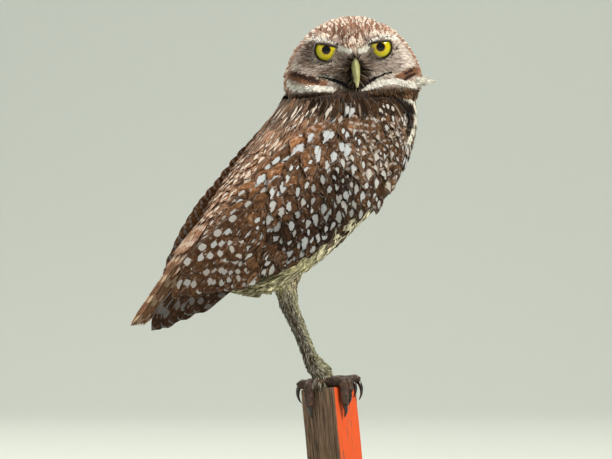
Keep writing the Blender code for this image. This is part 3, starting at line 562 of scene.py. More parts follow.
@dataclass
class HeadForm:
    """The outside of the head: a distance from its centre for each direction, with the face's relief."""

    centre: Array = field(default_factory=lambda: np.array([15.0, 10.5, STAKE_TOP + 184.0]))
    roll: float = math.radians(-3.2)
    turn: float = math.radians(2.5)
    half_width: float = 41.5
    crown: float = 39.0
    below: float = 30.0
    front: float = 35.0
    back: float = 33.0
    face_plane: float = 26.5
    eye_spread: float = 16.3
    eye_height: float = 18.6
    eye_depth: float = 18.8
    temples: float = 0.035
    lid_radius: float = 9.3
    opening: float = 7.0
    lid_line: float = 3.0
    lid_slope: tuple = (0.24, 0.09)

    @property
    def turned(self) -> Array:
        """The head's axes as rows of a matrix that carries its own points to the world's."""
        return np.array(Matrix.Rotation(self.turn, 3, "Z") @ Matrix.Rotation(self.roll, 3, "Y"))

    def to_world(self, points: Array) -> Array:
        """World points from points in the head's frame."""
        return np.asarray(points, float) @ self.turned.T + self.centre

    def to_head(self, points: Array) -> Array:
        """Points in the head's frame from world points."""
        return (np.asarray(points, float) - self.centre) @ self.turned

    def relief(self, x: Array, z: Array) -> Array:
        """Height of the face's forms in the face plane: bowls, brows, ridge, rims, muzzle and lines."""
        side = np.abs(x)
        to_eye = np.hypot(side - self.eye_spread, z - self.eye_height)
        bowl = -2.4 * hill(to_eye - 9.0, 5.0)
        brow = 4.2 * hill(line_distance(side, z, ((5.0, 18.5), (25.0, 29.5)))[0], 3.6)
        ridge = 3.4 * hill(x, 4.0) * hill(z - 15.0, 8.0)
        rim = 2.0 * hill(np.hypot(side - 13.0, z - 14.0) - 21.5, 3.0) * (z < 24)
        muzzle = 3.6 * hill(np.hypot(x, z - 2.5), 6.5)
        line = -1.8 * hill(line_distance(side, z, ((2.0, -5.5), (23.0, 3.0)))[0], 1.8)
        ruff = 2.2 * hill(line_distance(side, z, ((2.0, -9.0), (27.0, -2.5)))[0], 3.2)
        return bowl + brow + ridge + rim + muzzle + line + ruff

    def radius(self, way: Array) -> Array:
        """Distance from the centre to the surface along directions.

        An oval of three half axes is cut in front by the face plane, with a rounded edge from a
        power mean, and the relief is added where the direction looks forwards.
        """
        depth = np.where(way[..., 1] < 0, self.front, self.back)
        height = np.where(way[..., 2] > 0, self.crown, self.below)
        oval = 1 / np.sqrt(
            (way[..., 0] / self.half_width) ** 2 + (way[..., 1] / depth) ** 2 + (way[..., 2] / height) ** 2
        )
        ahead = np.maximum(-way[..., 1], 1e-3)
        flat = (oval**-10.0 + (self.face_plane / ahead) ** -10.0) ** -0.1
        aside = np.clip((0.70 - ahead) / 0.40, 0, 1) * np.abs(way[..., 0]) ** 0.8
        flat = flat * (1 - self.temples * aside * ease(way[..., 2], 0.05, 0.42))
        front = ease(ahead, 0.30, 0.65)
        reach = flat + self.relief(flat * way[..., 0], flat * way[..., 2]) * front
        for side in (-1, 1):
            eye = np.array([side * self.eye_spread, -self.eye_depth, self.eye_height])
            along = way @ eye
            inside = along**2 - eye @ eye + self.lid_radius**2
            reach = np.where(inside > 0, np.maximum(reach, along + np.sqrt(np.maximum(inside, 0))), reach)
        return reach

    def past_lids(self, places: Array) -> Array:
        """How far places on the head lie outside the nearer eye's opening, in the face plane.

        The opening is a circle cut by a sloping line above, so the distance is the larger of the two.
        """
        side = np.abs(places[..., 0])
        inner, above = self.eye_spread - side, places[..., 2] - self.eye_height
        slope = np.where(places[..., 0] < 0, *self.lid_slope)
        away = np.maximum(np.hypot(inner, above) - self.opening, above - self.lid_line + slope * inner)
        return np.where(places[..., 1] < -8.0, away, 50.0)

    def place(self, way: Array, height: Array) -> Array:
        """World points at a height over the surface along directions."""
        return self.to_world(way * (self.radius(way) + height)[..., None])

    def lay(self, way: Array, flow: Array) -> Lay:
        """How vanes lie that grow in directions from the centre, along a flow, wrapped on the surface."""
        root = way * self.radius(way)[:, None]
        normal = way
        ahead = unit(flow - normal * np.einsum("ij,ij->i", flow, normal)[:, None])
        aside = np.cross(normal, ahead)

        def laid(length: Array, across: Array, height: Array) -> Array:
            """World points of places on the vanes."""
            flat = root[:, None] + ahead[:, None] * length[..., None] + aside[:, None] * across[..., None]
            return self.place(unit(flat), height)

        return laid


@dataclass
class WingForm:
    """The outside of one folded wing: for each place forward and up, a distance from the median plane.

    Half width times (1 - |up - middle| / height to the power 2.4) to the power 1 / 2.4.
    """

    side: int
    shell: Array = field(default_factory=lambda: np.array([
        (78.0, 29.0, -2.0, 40.0),
        (60.0, 33.4, -1.0, 43.0),
        (35.0, 35.2, 0.0, 44.5),
        (5.0, 36.0, 0.0, 44.5),
        (-25.0, 35.2, 0.5, 43.0),
        (-55.0, 30.8, 3.0, 37.0),
        (-85.0, 25.4, 6.0, 31.0),
        (-110.0, 21.4, 8.0, 28.0),
        (-130.0, 19.0, 9.0, 27.0),
    ]))
    power: float = 2.4
    forward_rows: tuple = (74.0, 66.0, 62.0, 50.0, 35.0, 20.0, 5.0, -10.0, -25.0, -38.0, -46.0)
    low_edge: tuple = (-4.0, -13.0, -19.0, -25.0, -26.5, -21.8, -19.5, -19.0, -17.5, -12.5, -11.0)
    high_edge: tuple = (0.0, 2.0, 6.0, 15.0, 24.0, 28.0, 29.0, 27.0, 25.0, 23.0, 21.0)

    def reach(self, forward: Array, up: Array) -> Array:
        """Distance of the form from the median plane."""
        order = self.shell[::-1]
        half, middle, tall = (np.interp(forward, order[:, 0], order[:, k]) for k in (1, 2, 3))
        away = np.clip(np.abs(up - middle) / tall, 0, 0.985)
        return half * (1 - away**self.power) ** (1 / self.power)

    def place(self, forward: Array, up: Array, height: Array) -> Array:
        """World points at a height over the form."""
        forward, up, height = np.broadcast_arrays(*(np.asarray(v, float) for v in (forward, up, height)))
        slope_f = self.reach(forward + 0.5, up) - self.reach(forward - 0.5, up)
        slope_u = self.reach(forward, up + 0.5) - self.reach(forward, up - 0.5)
        normal = unit(columns(-slope_f, np.ones_like(slope_f), -slope_u))
        reach = self.reach(forward, up)
        return body_point(
            forward + normal[..., 0] * height, self.side * (reach + normal[..., 1] * height),
            up + normal[..., 2] * height,
        )

    def edges(self, forward: Array) -> tuple[Array, Array]:
        """Lowest and highest places of the covert coat, up, at places forward."""
        rows = np.array(self.forward_rows)[::-1]
        return np.interp(forward, rows, self.low_edge[::-1]), np.interp(forward, rows, self.high_edge[::-1])

    def coat(self, forward: Array, up: Array) -> Array:
        """Height of the coat's outside: full over the arm, lower to the rear, the wrist and the back."""
        full = np.interp(forward, [-123, -95, -70, -50, -30, 0, 40, 58, 68, 74], [
            -0.2, 0.2, 0.6, 1.4, 2.4, 3.0, 2.9, 1.4, -1.6, -4.4
        ])
        return full - 5.0 * ease(up, 14.0, 34.0) * ease(forward, -75.0, -35.0)

    def lay(self, forward: Array, up: Array, turn: Array) -> Lay:
        """How vanes lie that grow at places and point back, turned by an angle downwards."""
        cos, sin = np.cos(turn)[:, None], np.sin(turn)[:, None]

        def laid(length: Array, across: Array, height: Array) -> Array:
            """World points of places on the vanes."""
            return self.place(
                forward[:, None] - length * cos + across * sin, up[:, None] - length * sin - across * cos,
                height
            )

        return laid


def stake_place(points: Array) -> Array:
    """World points from points in the stake's frame: its sawn top at z 0, its painted side towards +x."""
    return np.asarray(points, float) @ STAKE_AXES.T + np.array([0.0, 0.0, STAKE_TOP])


TRUNK = TrunkForm()
HEAD = HeadForm()


class Sketch:
    """Adds nodes to a tree and links them, in the order that the light meets them."""

    def __init__(self, tree: Tree) -> None:
        """Keeps the tree that the nodes go into."""
        self.tree = tree

    def feed(self, socket: Socket, value: object) -> None:
        """Links a socket to another, or sets it to a plain number or colour."""
        if isinstance(value, Socket):
            self.tree.links.new(value, socket)
        elif value is not None:
            socket.default_value = value

    def node(self, kind: str, *values: object, **settings: object) -> bpy.types.Node:
        """A new node of a kind with its settings, and values for its first inputs."""
        made = self.tree.nodes.new(kind)
        for key, value in settings.items():
            setattr(made, key, value)
        for socket, value in zip(made.inputs, values):
            self.feed(socket, value)
        return made

    def put(self, node: bpy.types.Node, values: dict[str, object]) -> bpy.types.Node:
        """The same node with values for its inputs by name."""
        for label, value in values.items():
            self.feed(node.inputs[label], value)
        return node

    def math(self, operation: str, *values: object, clamp: bool = False) -> Socket:
        """The result of a sum on numbers or sockets."""
        return self.node("ShaderNodeMath", *values, operation=operation, use_clamp=clamp).outputs[0]

    def times(self, first: object, second: object) -> Socket:
        """The product of two numbers."""
        return self.math("MULTIPLY", first, second)

    def plus(self, first: object, second: object) -> Socket:
        """The sum of two numbers."""
        return self.math("ADD", first, second)

    def less(self, first: object, second: object) -> Socket:
        """The first number less the second."""
        return self.math("SUBTRACT", first, second)

    def over(self, first: object, second: object) -> Socket:
        """The first number divided by the second."""
        return self.math("DIVIDE", first, second)

    def line(self, value: object, gain: object, lift: object) -> Socket:
        """A number times a gain, plus a lift."""
        return self.math("MULTIPLY_ADD", value, gain, lift)

    def shade(self, colour: object, gain: object) -> Socket:
        """A colour times one number."""
        return self.vector("MULTIPLY", colour, self.join(gain, gain, gain))

    def vector(self, operation: str, *values: object, result: str = "Vector") -> Socket:
        """The result of a sum on vectors."""
        return self.node("ShaderNodeVectorMath", *values, operation=operation).outputs[result]

    def ramp(
        self, value: object, low: float, high: float, to_low: float = 0.0, to_high: float = 1.0
    ) -> Socket:
        """A number carried from one span to another by a smooth step."""
        values = (value, low, high, to_low, to_high)
        return self.node("ShaderNodeMapRange", *values, interpolation_type="SMOOTHSTEP").outputs[0]

    def mix(self, share: object, first: object, second: object, blend: str = "MIX") -> Socket:
        """A colour between two, by a share."""
        made = self.node("ShaderNodeMix", share, data_type="RGBA", blend_type=blend)
        self.feed(made.inputs[6], first)
        self.feed(made.inputs[7], second)
        return made.outputs[2]

    def dot(self, first: object, second: object) -> Socket:
        """The dot product of two vectors."""
        return self.vector("DOT_PRODUCT", first, second, result="Value")

    def noise(
        self, place: object, scale: object, detail: float = 2.0, stretch: tuple | None = None
    ) -> Socket:
        """A noise value at a place, which may be stretched first."""
        if stretch is not None:
            place = self.put(self.node("ShaderNodeMapping"), {"Vector": place, "Scale": stretch}).outputs[0]
        made = self.put(self.node("ShaderNodeTexNoise"), {"Vector": place, "Scale": scale, "Detail": detail})
        return made.outputs["Fac"]

    def apart(self, vector: object) -> tuple:
        """The three parts of a vector."""
        return tuple(self.node("ShaderNodeSeparateXYZ", vector).outputs)

    def join(self, x: object, y: object, z: object) -> Socket:
        """A vector from three parts."""
        return self.node("ShaderNodeCombineXYZ", x, y, z).outputs[0]

    def bump(self, height: object, strength: float, distance: float) -> Socket:
        """A normal from a height, with its strength and its depth in metres."""
        values = {"Strength": strength, "Distance": distance, "Height": height}
        return self.put(self.node("ShaderNodeBump"), values).outputs["Normal"]

    def use(self, group: Tree, values: dict[str, object]) -> bpy.types.NodeOutputs:
        """The outputs of a group that is placed with its own values."""
        return self.put(self.node("ShaderNodeGroup", node_tree=group), values).outputs

    def stored(self, name: str, colour: bool = False) -> Socket:
        """A value stored on the mesh's points."""
        return self.node("ShaderNodeAttribute", attribute_name=name).outputs["Color" if colour else "Vector"]

    def object_place(self) -> Socket:
        """The place on the object, in metres."""
        return self.node("ShaderNodeTexCoord").outputs["Object"]

    def own_place(self, origin: Array, axes: Array) -> list:
        """The place in a frame's own millimetres: dot products of its axes with the way from its origin."""
        away = self.vector("SUBTRACT", self.object_place(), tuple(np.asarray(origin) * MM))
        return [self.times(self.dot(away, tuple(axes[:, k])), 1.0 / MM) for k in range(3)]


def fresh_material(name: str) -> tuple[Material, Sketch, bpy.types.Node]:
    """A new material with a Principled shader, and a sketch of its tree."""
    made = bpy.data.materials.new(name)
    made.use_nodes = True
    return made, Sketch(made.node_tree), made.node_tree.nodes["Principled BSDF"]


def new_group(name: str, inputs: dict[str, str], outputs: dict[str, str]) -> tuple:
    """An empty shader group with named sockets.

    Args:
        name: The group's name.
        inputs: Socket type for each input's name.
        outputs: Socket type for each output's name.

    Returns:
        The group, a sketch of it, its input sockets by name and its output node.
    """
    group = bpy.data.node_groups.new(name, "ShaderNodeTree")
    for label, kind in inputs.items():
        group.interface.new_socket(label, in_out="INPUT", socket_type=kind)
    for label, kind in outputs.items():
        group.interface.new_socket(label, in_out="OUTPUT", socket_type=kind)
    sketch = Sketch(group)
    source = sketch.node("NodeGroupInput")
    return group, sketch, {label: source.outputs[label] for label in inputs}, sketch.node("NodeGroupOutput")


FLOAT, COLOUR, VECTOR = "NodeSocketFloat", "NodeSocketColor", "NodeSocketVector"


def plumage_group() -> Tree:
    """The group that draws one vane: ground, barbs, shaft, spots, bars, streak and worn edge."""
    group, s, given, result = new_group(
        "vane_marks",
        {"Tone": COLOUR, "Tint": COLOUR, "Blade": VECTOR, "Reach": VECTOR, "Spot": VECTOR, "Bands": VECTOR,
         "Fringe": FLOAT, "Barbs": FLOAT},
        {"Color": COLOUR, "Roughness": FLOAT, "Height": FLOAT},
    )
    across, along, chance = s.apart(given["Blade"])
    half, length, slim = s.apart(given["Reach"])
    spot_across, spot_along, spot_size = s.apart(given["Spot"])
    bar_count, bar_share, streak_share = s.apart(given["Bands"])
    away = s.math("ABSOLUTE", across)
    x_mm = s.times(across, half)
    away_mm = s.times(away, half)
    y_mm = s.times(along, length)
    wander = s.noise(s.join(x_mm, y_mm, s.times(chance, 60.0)), 0.55, 2.0)
    swell = s.line(wander, 1.1, -0.05)

    def oval(centre_x: object, centre_y: object, size: object) -> Socket:
        """Distance from a spot's middle, 1 on its rim."""
        dx = s.over(s.less(x_mm, centre_x), s.times(size, slim))
        dy = s.over(s.less(y_mm, centre_y), size)
        reach = s.math("SQRT", s.plus(s.times(dx, dx), s.times(dy, dy)))
        return s.over(reach, s.plus(swell, 0.5))

    size = s.math("MAXIMUM", spot_size, 0.001)
    there = s.ramp(spot_size, 0.05, 0.2)
    main = oval(s.times(spot_across, half), s.times(spot_along, length), size)
    small = oval(
        s.times(s.times(spot_across, half), -1.25),
        s.times(s.less(spot_along, 0.16), length), s.times(size, 0.62),
    )
    nearest = s.math("MINIMUM", main, s.plus(small, s.ramp(chance, 0.45, 0.5, 0.0, 9.0)))
    spot = s.times(s.ramp(nearest, 1.12, 0.78), there)
    halo = s.times(s.math("SUBTRACT", s.ramp(nearest, 1.75, 1.05), spot, clamp=True), there)
    phase = s.math("FRACT", s.line(along, bar_count, s.times(chance, 0.35)))
    bar_y = s.over(s.less(phase, 0.5), 0.19)
    bar_x = s.over(s.less(away, 0.56), 0.34)
    bar_reach = s.plus(
        s.math("POWER", s.math("ABSOLUTE", bar_y), 2.6), s.math("POWER", s.math("ABSOLUTE", bar_x), 2.6)
    )
    bar = s.times(s.ramp(s.over(bar_reach, s.plus(swell, 0.5)), 1.1, 0.8), bar_share)
    streak = s.ramp(away_mm, 0.75, 0.2)
    streak = s.times(s.times(streak, s.ramp(along, 0.25, 0.6)), streak_share)
    flecks = s.noise(s.join(x_mm, s.times(y_mm, 0.6), s.times(chance, 47.0)), 0.6, 3.0)
    fleck = s.times(s.ramp(flecks, 0.62, 0.68), s.ramp(s.plus(spot_size, bar_share), 0.02, 0.3, 0.0, 0.4))
    marks = s.math("MAXIMUM", s.math("MAXIMUM", spot, bar), s.math("MAXIMUM", streak, fleck), clamp=True)
    barb_line = s.less(s.times(y_mm, 0.8), s.times(away_mm, 0.6))
    barbs = s.noise(s.join(s.times(x_mm, 0.25), s.times(barb_line, 2.2), chance), 1.6, 3.0)
    broad = s.noise(s.join(x_mm, y_mm, s.times(chance, 31.0)), 0.22, 1.0)
    gain = s.plus(s.line(s.less(barbs, 0.5), given["Barbs"], 1.0),
                  s.times(s.less(broad, 0.5), 0.9))
    gain = s.times(gain, s.ramp(flecks, 0.36, 0.64, 0.62, 1.4))
    ground = s.shade(given["Tone"], gain)
    darkened = s.mix(s.times(halo, 0.7), ground, s.vector("MULTIPLY", given["Tone"], (0.3, 0.26, 0.24)))
    rim_mm = s.math("MINIMUM", s.less(half, away_mm), s.less(length, y_mm))
    edge = s.times(s.ramp(rim_mm, 0.9, 0.35), given["Fringe"])
    fringed = s.mix(edge, darkened, s.mix(0.55, given["Tone"], given["Tint"]))
    pale_gain = s.line(s.less(barbs, 0.5), 0.35, 1.0)
    pale = s.shade(given["Tint"], pale_gain)
    marked = s.mix(marks, fringed, pale)
    shaft = s.times(s.ramp(away_mm, 0.22, 0.08), s.ramp(half, 2.0, 3.5))
    coloured = s.mix(s.times(shaft, 0.45), marked, s.vector("MULTIPLY", given["Tone"], (0.3, 0.26, 0.24)))
    height = s.plus(barbs, s.times(shaft, 0.8))
    s.put(result, {"Color": coloured, "Roughness": s.line(barbs, 0.15, 0.55), "Height": height})
    return group


@dataclass(frozen=True)
class PlumageFinish:
    """A finish for vanes, with the group's own values for it."""

    name: str
    fringe: float = 0.25
    barbs: float = 0.7
    bump: float = 0.3

    def make(self, group: Tree) -> Material:
        """The material, which reads what is stored on each vane."""
        made, s, shader = fresh_material(self.name)
        values = {label: s.stored(label.lower(), True) for label in ("Tone", "Tint")}
        values |= {label: s.stored(label.lower()) for label in ("Blade", "Reach", "Spot", "Bands")}
        drawn = s.use(group, {**values, "Fringe": self.fringe, "Barbs": self.barbs})
        s.put(shader, {
            "Base Color": drawn["Color"], "Roughness": drawn["Roughness"], "Specular IOR Level": 0.08,
            "Normal": s.bump(drawn["Height"], self.bump, 0.0002),
        })
        return made


def surface_group() -> Tree:
    """The group for bare surfaces: two colours by a coarse and a fine noise, with a height from both."""
    group, s, given, result = new_group(
        "mottle", {"Place": VECTOR, "First": COLOUR, "Second": COLOUR, "Coarse": FLOAT, "Fine": FLOAT},
        {"Color": COLOUR, "Fac": FLOAT, "Height": FLOAT},
    )
    coarse, fine = (s.noise(given["Place"], given[label], 4.0) for label in ("Coarse", "Fine"))
    both = s.plus(s.times(coarse, 0.6), s.times(fine, 0.4))
    colour = s.mix(s.ramp(both, 0.36, 0.64), given["First"], given["Second"])
    s.put(result, {"Fac": both, "Height": both, "Color": colour})
    return group


@dataclass(frozen=True)
class MottledFinish:
    """A bare finish that varies between two colours: skin, scale, horn, steel or paint.

    Attributes:
        name: The material's name.
        first: One colour.
        second: The other.
        coarse: Scale of the large variation, per metre.
        fine: Scale of the small one.
        roughness: Lowest and highest roughness.
        bump: Strength of the bump.
        metallic: 1 for bare metal.
        coat: Weight of a clear coat.
    """

    name: str
    first: tuple
    second: tuple
    coarse: float
    fine: float
    roughness: tuple
    bump: float = 0.2
    metallic: float = 0.0
    coat: float = 0.0

    def make(self, group: Tree) -> Material:
        """The material on object coordinates."""
        made, s, shader = fresh_material(self.name)
        drawn = s.use(group, {
            "Place": s.object_place(), "First": rgba(*self.first), "Second": rgba(*self.second),
            "Coarse": self.coarse, "Fine": self.fine,
        })
        s.put(shader, {
            "Base Color": drawn["Color"], "Roughness": s.ramp(drawn["Fac"], 0.3, 0.7, *self.roughness),
            "Normal": s.bump(drawn["Height"], self.bump, 0.0004),
            "Metallic": self.metallic, "Coat Weight": self.coat,
        })
        return made


def skin_material(group: Tree) -> Material:
    """Down and skin under the vanes, coloured by the tone stored on each point."""
    made, s, shader = fresh_material("skin_under_down")
    shade = s.vector("MULTIPLY", s.stored("tone", True), (0.6, 0.56, 0.55))
    drawn = s.use(group, {
        "Place": s.object_place(), "First": s.stored("tone", True), "Second": shade, "Coarse": 300.0,
        "Fine": 1600.0
    })
    s.put(shader, {
        "Base Color": drawn["Color"], "Normal": s.bump(drawn["Height"], 0.6, 0.0004), "Roughness": 0.8
    })
    return made


def fit(piece: Piece, finish: Material, slot: str, *nodes: str) -> None:
    """Gives a piece its finish, its body and the plain nodes that it stands for."""
    piece.data.materials.append(finish)
    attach(piece, "root")
    if nodes:
        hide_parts(*nodes)


# Screen colours of the plumage
DARK_BROWN = paint(48, 31, 18)
BROWN = paint(82, 56, 37)
WARM_BROWN = paint(116, 82, 55)
RUSSET = paint(156, 105, 68)
WHITE_MARK = paint(200, 202, 202)
BUFF_MARK = paint(206, 178, 146)
BELLY = paint(222, 213, 182)
DOWN = paint(208, 198, 156)
CROWN_BROWN = paint(131, 94, 74)
CROWN_PALE = paint(238, 219, 199)
DISC_GREY = paint(170, 152, 140)
DISC_BROWN = paint(110, 84, 66)
BRISTLE_DARK = paint(48, 37, 26)
BLACK = paint(18, 14, 12)
BAND_WHITE = paint(226, 220, 204)
SHANK_GREY = paint(128, 118, 98)


@dataclass(frozen=True)
class FaceLayer:
    """Lines of one colour on the face, painted over the layers before.

    Attributes:
        name: What they are.
        colour: Their screen colour.
        soft: How far their edges fade.
        lines: For each line half its width, then its corners in the head's frame, x and z.
    """

    name: str
    colour: tuple
    soft: float
    lines: tuple

    def share(self, x: Array, z: Array) -> Array:
        """How much of its colour shows at places: 1 inside its lines, falling to 0 over the soft edge."""
        reach = np.min([line_distance(x, z, corners)[0] - half for half, corners in self.lines], axis=0)
        return ease(reach, self.soft, 0.0)


@dataclass
class FaceMarkings:
    """Where each colour of the head lies, as lines and circles in the head's own frame."""

    soft_layers: tuple = (
        FaceLayer("rim", (214, 198, 184), 2.0, (
            (1.4, ((-28.6, 26.4), (-33.0, 21.3), (-36.1, 14.2), (-37.7, 7.7))),
            (3.4, ((28.4, 23.8), (32.2, 17.6), (34.3, 11.5), (35.1, 5.4))),
        )),
        FaceLayer("blush", (216, 192, 168), 0.9, (
            (1.0, ((-34.0, -0.6), (-26.0, -2.4))),
            (0.9, ((13.8, 0.0), (21.1, 1.1), (25.9, 1.1))),
        )),
        FaceLayer("lore", (84, 66, 50), 5.0, (
            (2.0, ((-15.0, 5.0), (-8.0, 1.5))),
            (1.6, ((-8.0, 11.0), (-5.0, 1.0))),
            (1.4, ((9.0, 11.0), (6.5, 1.0))),
        )),
    )
    layers: tuple = (
        FaceLayer("cheek", (134, 92, 66), 1.4, (
            (2.0, ((-36.9, 4.8), (-32.3, 2.4), (-27.0, 0.5), (-19.1, -1.7))),
            (2.2, ((26.6, -0.6), (31.9, 1.6), (36.8, 3.4)))
        )),
        FaceLayer("ear", (54, 33, 24), 1.3, (
            (0.9, ((-36.4, 5.6), (-31.8, 3.9), (-27.0, 1.9), (-22.6, -0.2))),
            (0.3, ((28.6, -2.4), (32.9, 0.4), (36.3, 1.6))), (0.2, ((30.0, 1.6), (35.0, 4.4)))
        )),
        FaceLayer("white", (238, 231, 219), 0.7, (
            (1.3, ((-41.9, 3.1), (-40.0, -0.6), (-36.8, -2.9), (-32.0, -3.8), (-22.5, -4.3), (-14.1, -5.3))),
            (1.5, ((3.9, -5.4), (10.0, -4.0), (17.3, -2.9), (24.5, -1.8), (29.8, -3.9), (38.1, -5.4))),
            (1.15, (
                (-29.0, 26.5), (-23.7, 26.2), (-18.4, 24.4), (-13.8, 22.6), (-10.0, 20.5), (-5.5, 18.1),
                (-2.8, 17.0)
            )),
            (1.25, (
                (3.8, 16.7), (6.5, 17.2), (9.3, 19.7), (12.1, 22.4), (16.2, 23.8), (20.3, 24.6), (29.0, 24.0)
            ))
        )),
        FaceLayer("bristle", (34, 24, 15), 3.4, ((3.6, ((0.5, -1.0), (0.5, 10.4))),)),
        FaceLayer("smile", (16, 12, 10), 0.5, (
            (0.45, ((-21.0, 2.6), (-13.1, 0.6))),
            (0.95, ((-13.1, 0.6), (-6.6, -2.5), (-2.7, -4.8), (-0.1, -5.8))),
            (0.0, ((-19.0, 4.2), (-13.0, 2.7), (-8.0, 0.4))),
            (1.05, ((-0.1, -5.4), (4.0, -4.1), (8.1, -1.8))), (0.75, ((8.1, -1.8), (12.2, 0.5))),
            (0.3, ((12.2, 0.5), (18.0, 2.4), (22.0, 3.2)))
        ))
    )

    def paint_head(self, places: Array, draw: Array, other: Array) -> tuple[Array, Array, Array, Array]:
        """Colours and marks at places in the head's frame.

        Args:
            places: The places, one row each.
            draw: A number from 0 to 1 for each, the same all over a vane.
            other: A second one.

        Returns:
            Ground colours, mark colours, spots and bands.
        """
        x, y, z = places.T
        side = np.abs(x)
        front = ease(-y, 6.0, 18.0)
        clump = 0.5 + 0.5 * np.sin(x * 0.9 + 2.0 * np.sin(z * 0.55)) * np.sin(z * 0.7 + 1.7 * np.sin(x * 0.4))
        tone = layered(CROWN_BROWN * 0.8, (CROWN_BROWN * 1.8, 0.45 * draw + 0.55 * clump), (
            RUSSET, 0.55 * ease(x, 8.0, 20.0) * (clump > 0.5)
        ))
        tint = blend(CROWN_PALE * 1.08, CROWN_PALE * 0.66, other)
        streak = np.where(draw > 0.3, 1.0, 0.0)
        spot = columns(0.5 * (other - 0.5), 0.74, 2.8 + 3.4 * draw)
        to_eye = np.hypot(side - HEAD.eye_spread, z - HEAD.eye_height)
        forehead = np.maximum(ease(z, 23.5, 26.5), ease(side, 8.5, 5.5) * ease(z, 15.0, 18.5))
        tone = blend(tone, RUSSET * 1.2, 0.6 * front * ease(side, 6.0, 3.0) * ease(z, 24.0, 19.0))
        fine = front * forehead * ease(z, 30.5, 27.0)
        tone = layered(tone, (CROWN_PALE * 0.95, fine * (draw > 0.45)), (
            CROWN_BROWN * 0.8, fine * (draw < 0.25)
        ))
        disc = front * (1 - forehead)
        disc_tone = blend(DISC_GREY, DISC_BROWN, 0.75 * other * draw + 0.25 * clump)
        lilac = paint(212, 196, 182)
        outer = ease(side, 23.0, 31.0)
        # Painted light: the pale outer disc is laid three times as strongly at +x as at -x, as if lit from
        # that side.
        outer = outer * np.where(x > 0, 1.5, 0.5)
        disc_tone = blend(
            disc_tone, lilac, np.clip(0.2 + 0.7 * outer, 0, 1) * (draw > 0.2) * ease(z, 24.0, 15.0)
        )
        # Painted shade: the disc at -x is darkened beside that eye, as if that side lay in shade.
        painted_shade_side = ease(x, -19.0, -25.0) * ease(z, 4.0, 12.0) * ease(x, -38.0, -33.0)
        disc_tone = blend(disc_tone, DISC_BROWN * 0.75, 0.85 * painted_shade_side * (draw > 0.2))
        # Painted shade: the disc below the eye at -x is darkened too.
        inner = ease(x, -4.0, -12.0) * ease(x, -26.0, -20.0) * ease(z, 9.0, 5.0) * ease(z, -1.0, 2.0)
        disc_tone = blend(disc_tone, DISC_BROWN * 0.8, 0.7 * inner * (other > 0.25))
        under_eye = hill(to_eye - 8.5, 2.2) * ease(z, HEAD.eye_height, HEAD.eye_height - 5)
        disc_tone = blend(disc_tone, lilac * 0.9, 0.6 * under_eye)
        tone = blend(tone, disc_tone, disc)
        for layer in self.soft_layers:
            shown = (
                layer.share(x, z + 1.6 * (draw - 0.5)) * front
                * np.where(layer.name == "lore", 0.45 + 0.5 * other, 0.9)
            )
            tone = blend(tone, paint(*layer.colour), shown)
        chin = ease(z, -3.4, -5.4) * front * ease(side, 20.0, 14.0)
        chin_tone = blend(BAND_WHITE * 0.75, DISC_BROWN * 0.8, (draw > 0.42).astype(float))
        tone = blend(tone, chin_tone, chin)
        moustache = (
            ease(z, 4.5, 2.5) * ease(z, -4.0, -2.0) * ease(side, 28.0, 20.0) * ease(side, 8.0, 14.0) * front
        )
        tone = blend(tone, BAND_WHITE * 0.8, moustache * (draw > 0.35) * 0.8)
        below = ease(z, -5.2, -7.4)
        under = blend(DARK_BROWN * 0.8, WARM_BROWN, draw**2)
        tone = blend(tone, under, below)
        tint = blend(tint, BUFF_MARK * 0.8, below)
        clear = np.prod([1 - m for m in (chin, disc, below * (other > 0.35))], axis=0)
        spot[:, 2] *= clear
        bands = columns(0.0, 0.0, streak * np.maximum(clear, 0.3 * disc))
        return tone, tint, spot, bands

    def flow(self, places: Array) -> Array:
        """Directions in which the head's vanes point: away from bill and eyes, then back and down.

        The sum of (place - source) / distance^2 over the sources, plus a steady pull backwards and down.
        """
        sources = np.array([
            [0.5, -30.0, 9.0], [-HEAD.eye_spread, -26.0, HEAD.eye_height],
            [HEAD.eye_spread, -26.0, HEAD.eye_height]
        ])
        away = places[:, None] - sources
        pull = (away / (np.linalg.norm(away, axis=-1, keepdims=True) ** 2)).sum(axis=1)
        behind = ease(places[:, 1], -12.0, 16.0)[:, None]
        return pull + behind * np.array([0.0, 0.004, -0.05]) + np.array([0.0, 0.012, 0.0])


def clumps(first: Array, second: Array, size: float) -> Array:
    """Soft patches from 0 to 1 over two coordinates, from sums of sines of about a size in millimetres."""
    a, b = first / size, second / size
    waves = (
        np.sin(a + 1.7 * np.sin(0.7 * b)) + np.sin(1.3 * b + 1.3 * np.sin(0.9 * a + 2.0))
        + np.sin(0.8 * (a - b) + 1.0)
    )
    return np.clip(0.5 + waves / 4.2, 0, 1)


def mottled(points: Array, tone: Array) -> Array:
    """A tone varied over the body by patches that run on from vane to vane."""
    forward, left, up = in_body(points)
    fine = clumps(forward + 0.4 * up, up - 0.6 * left, 1.5)
    broad = clumps(forward, up + 0.6 * left, 4.2)
    return tone * (0.55 + 0.6 * fine + 0.35 * broad)[:, None]


def belly_edge(forward: Array) -> Array:
    """How far up the pale belly reaches, at places forward."""
    return np.interp(forward, [-64, -52, -45, -35, -25, -11, 1, 14, 23, 31, 36], [
        -11, -17, -21, -22.5, -24, -26, -28, -32.5, -37, -40, -60
    ])


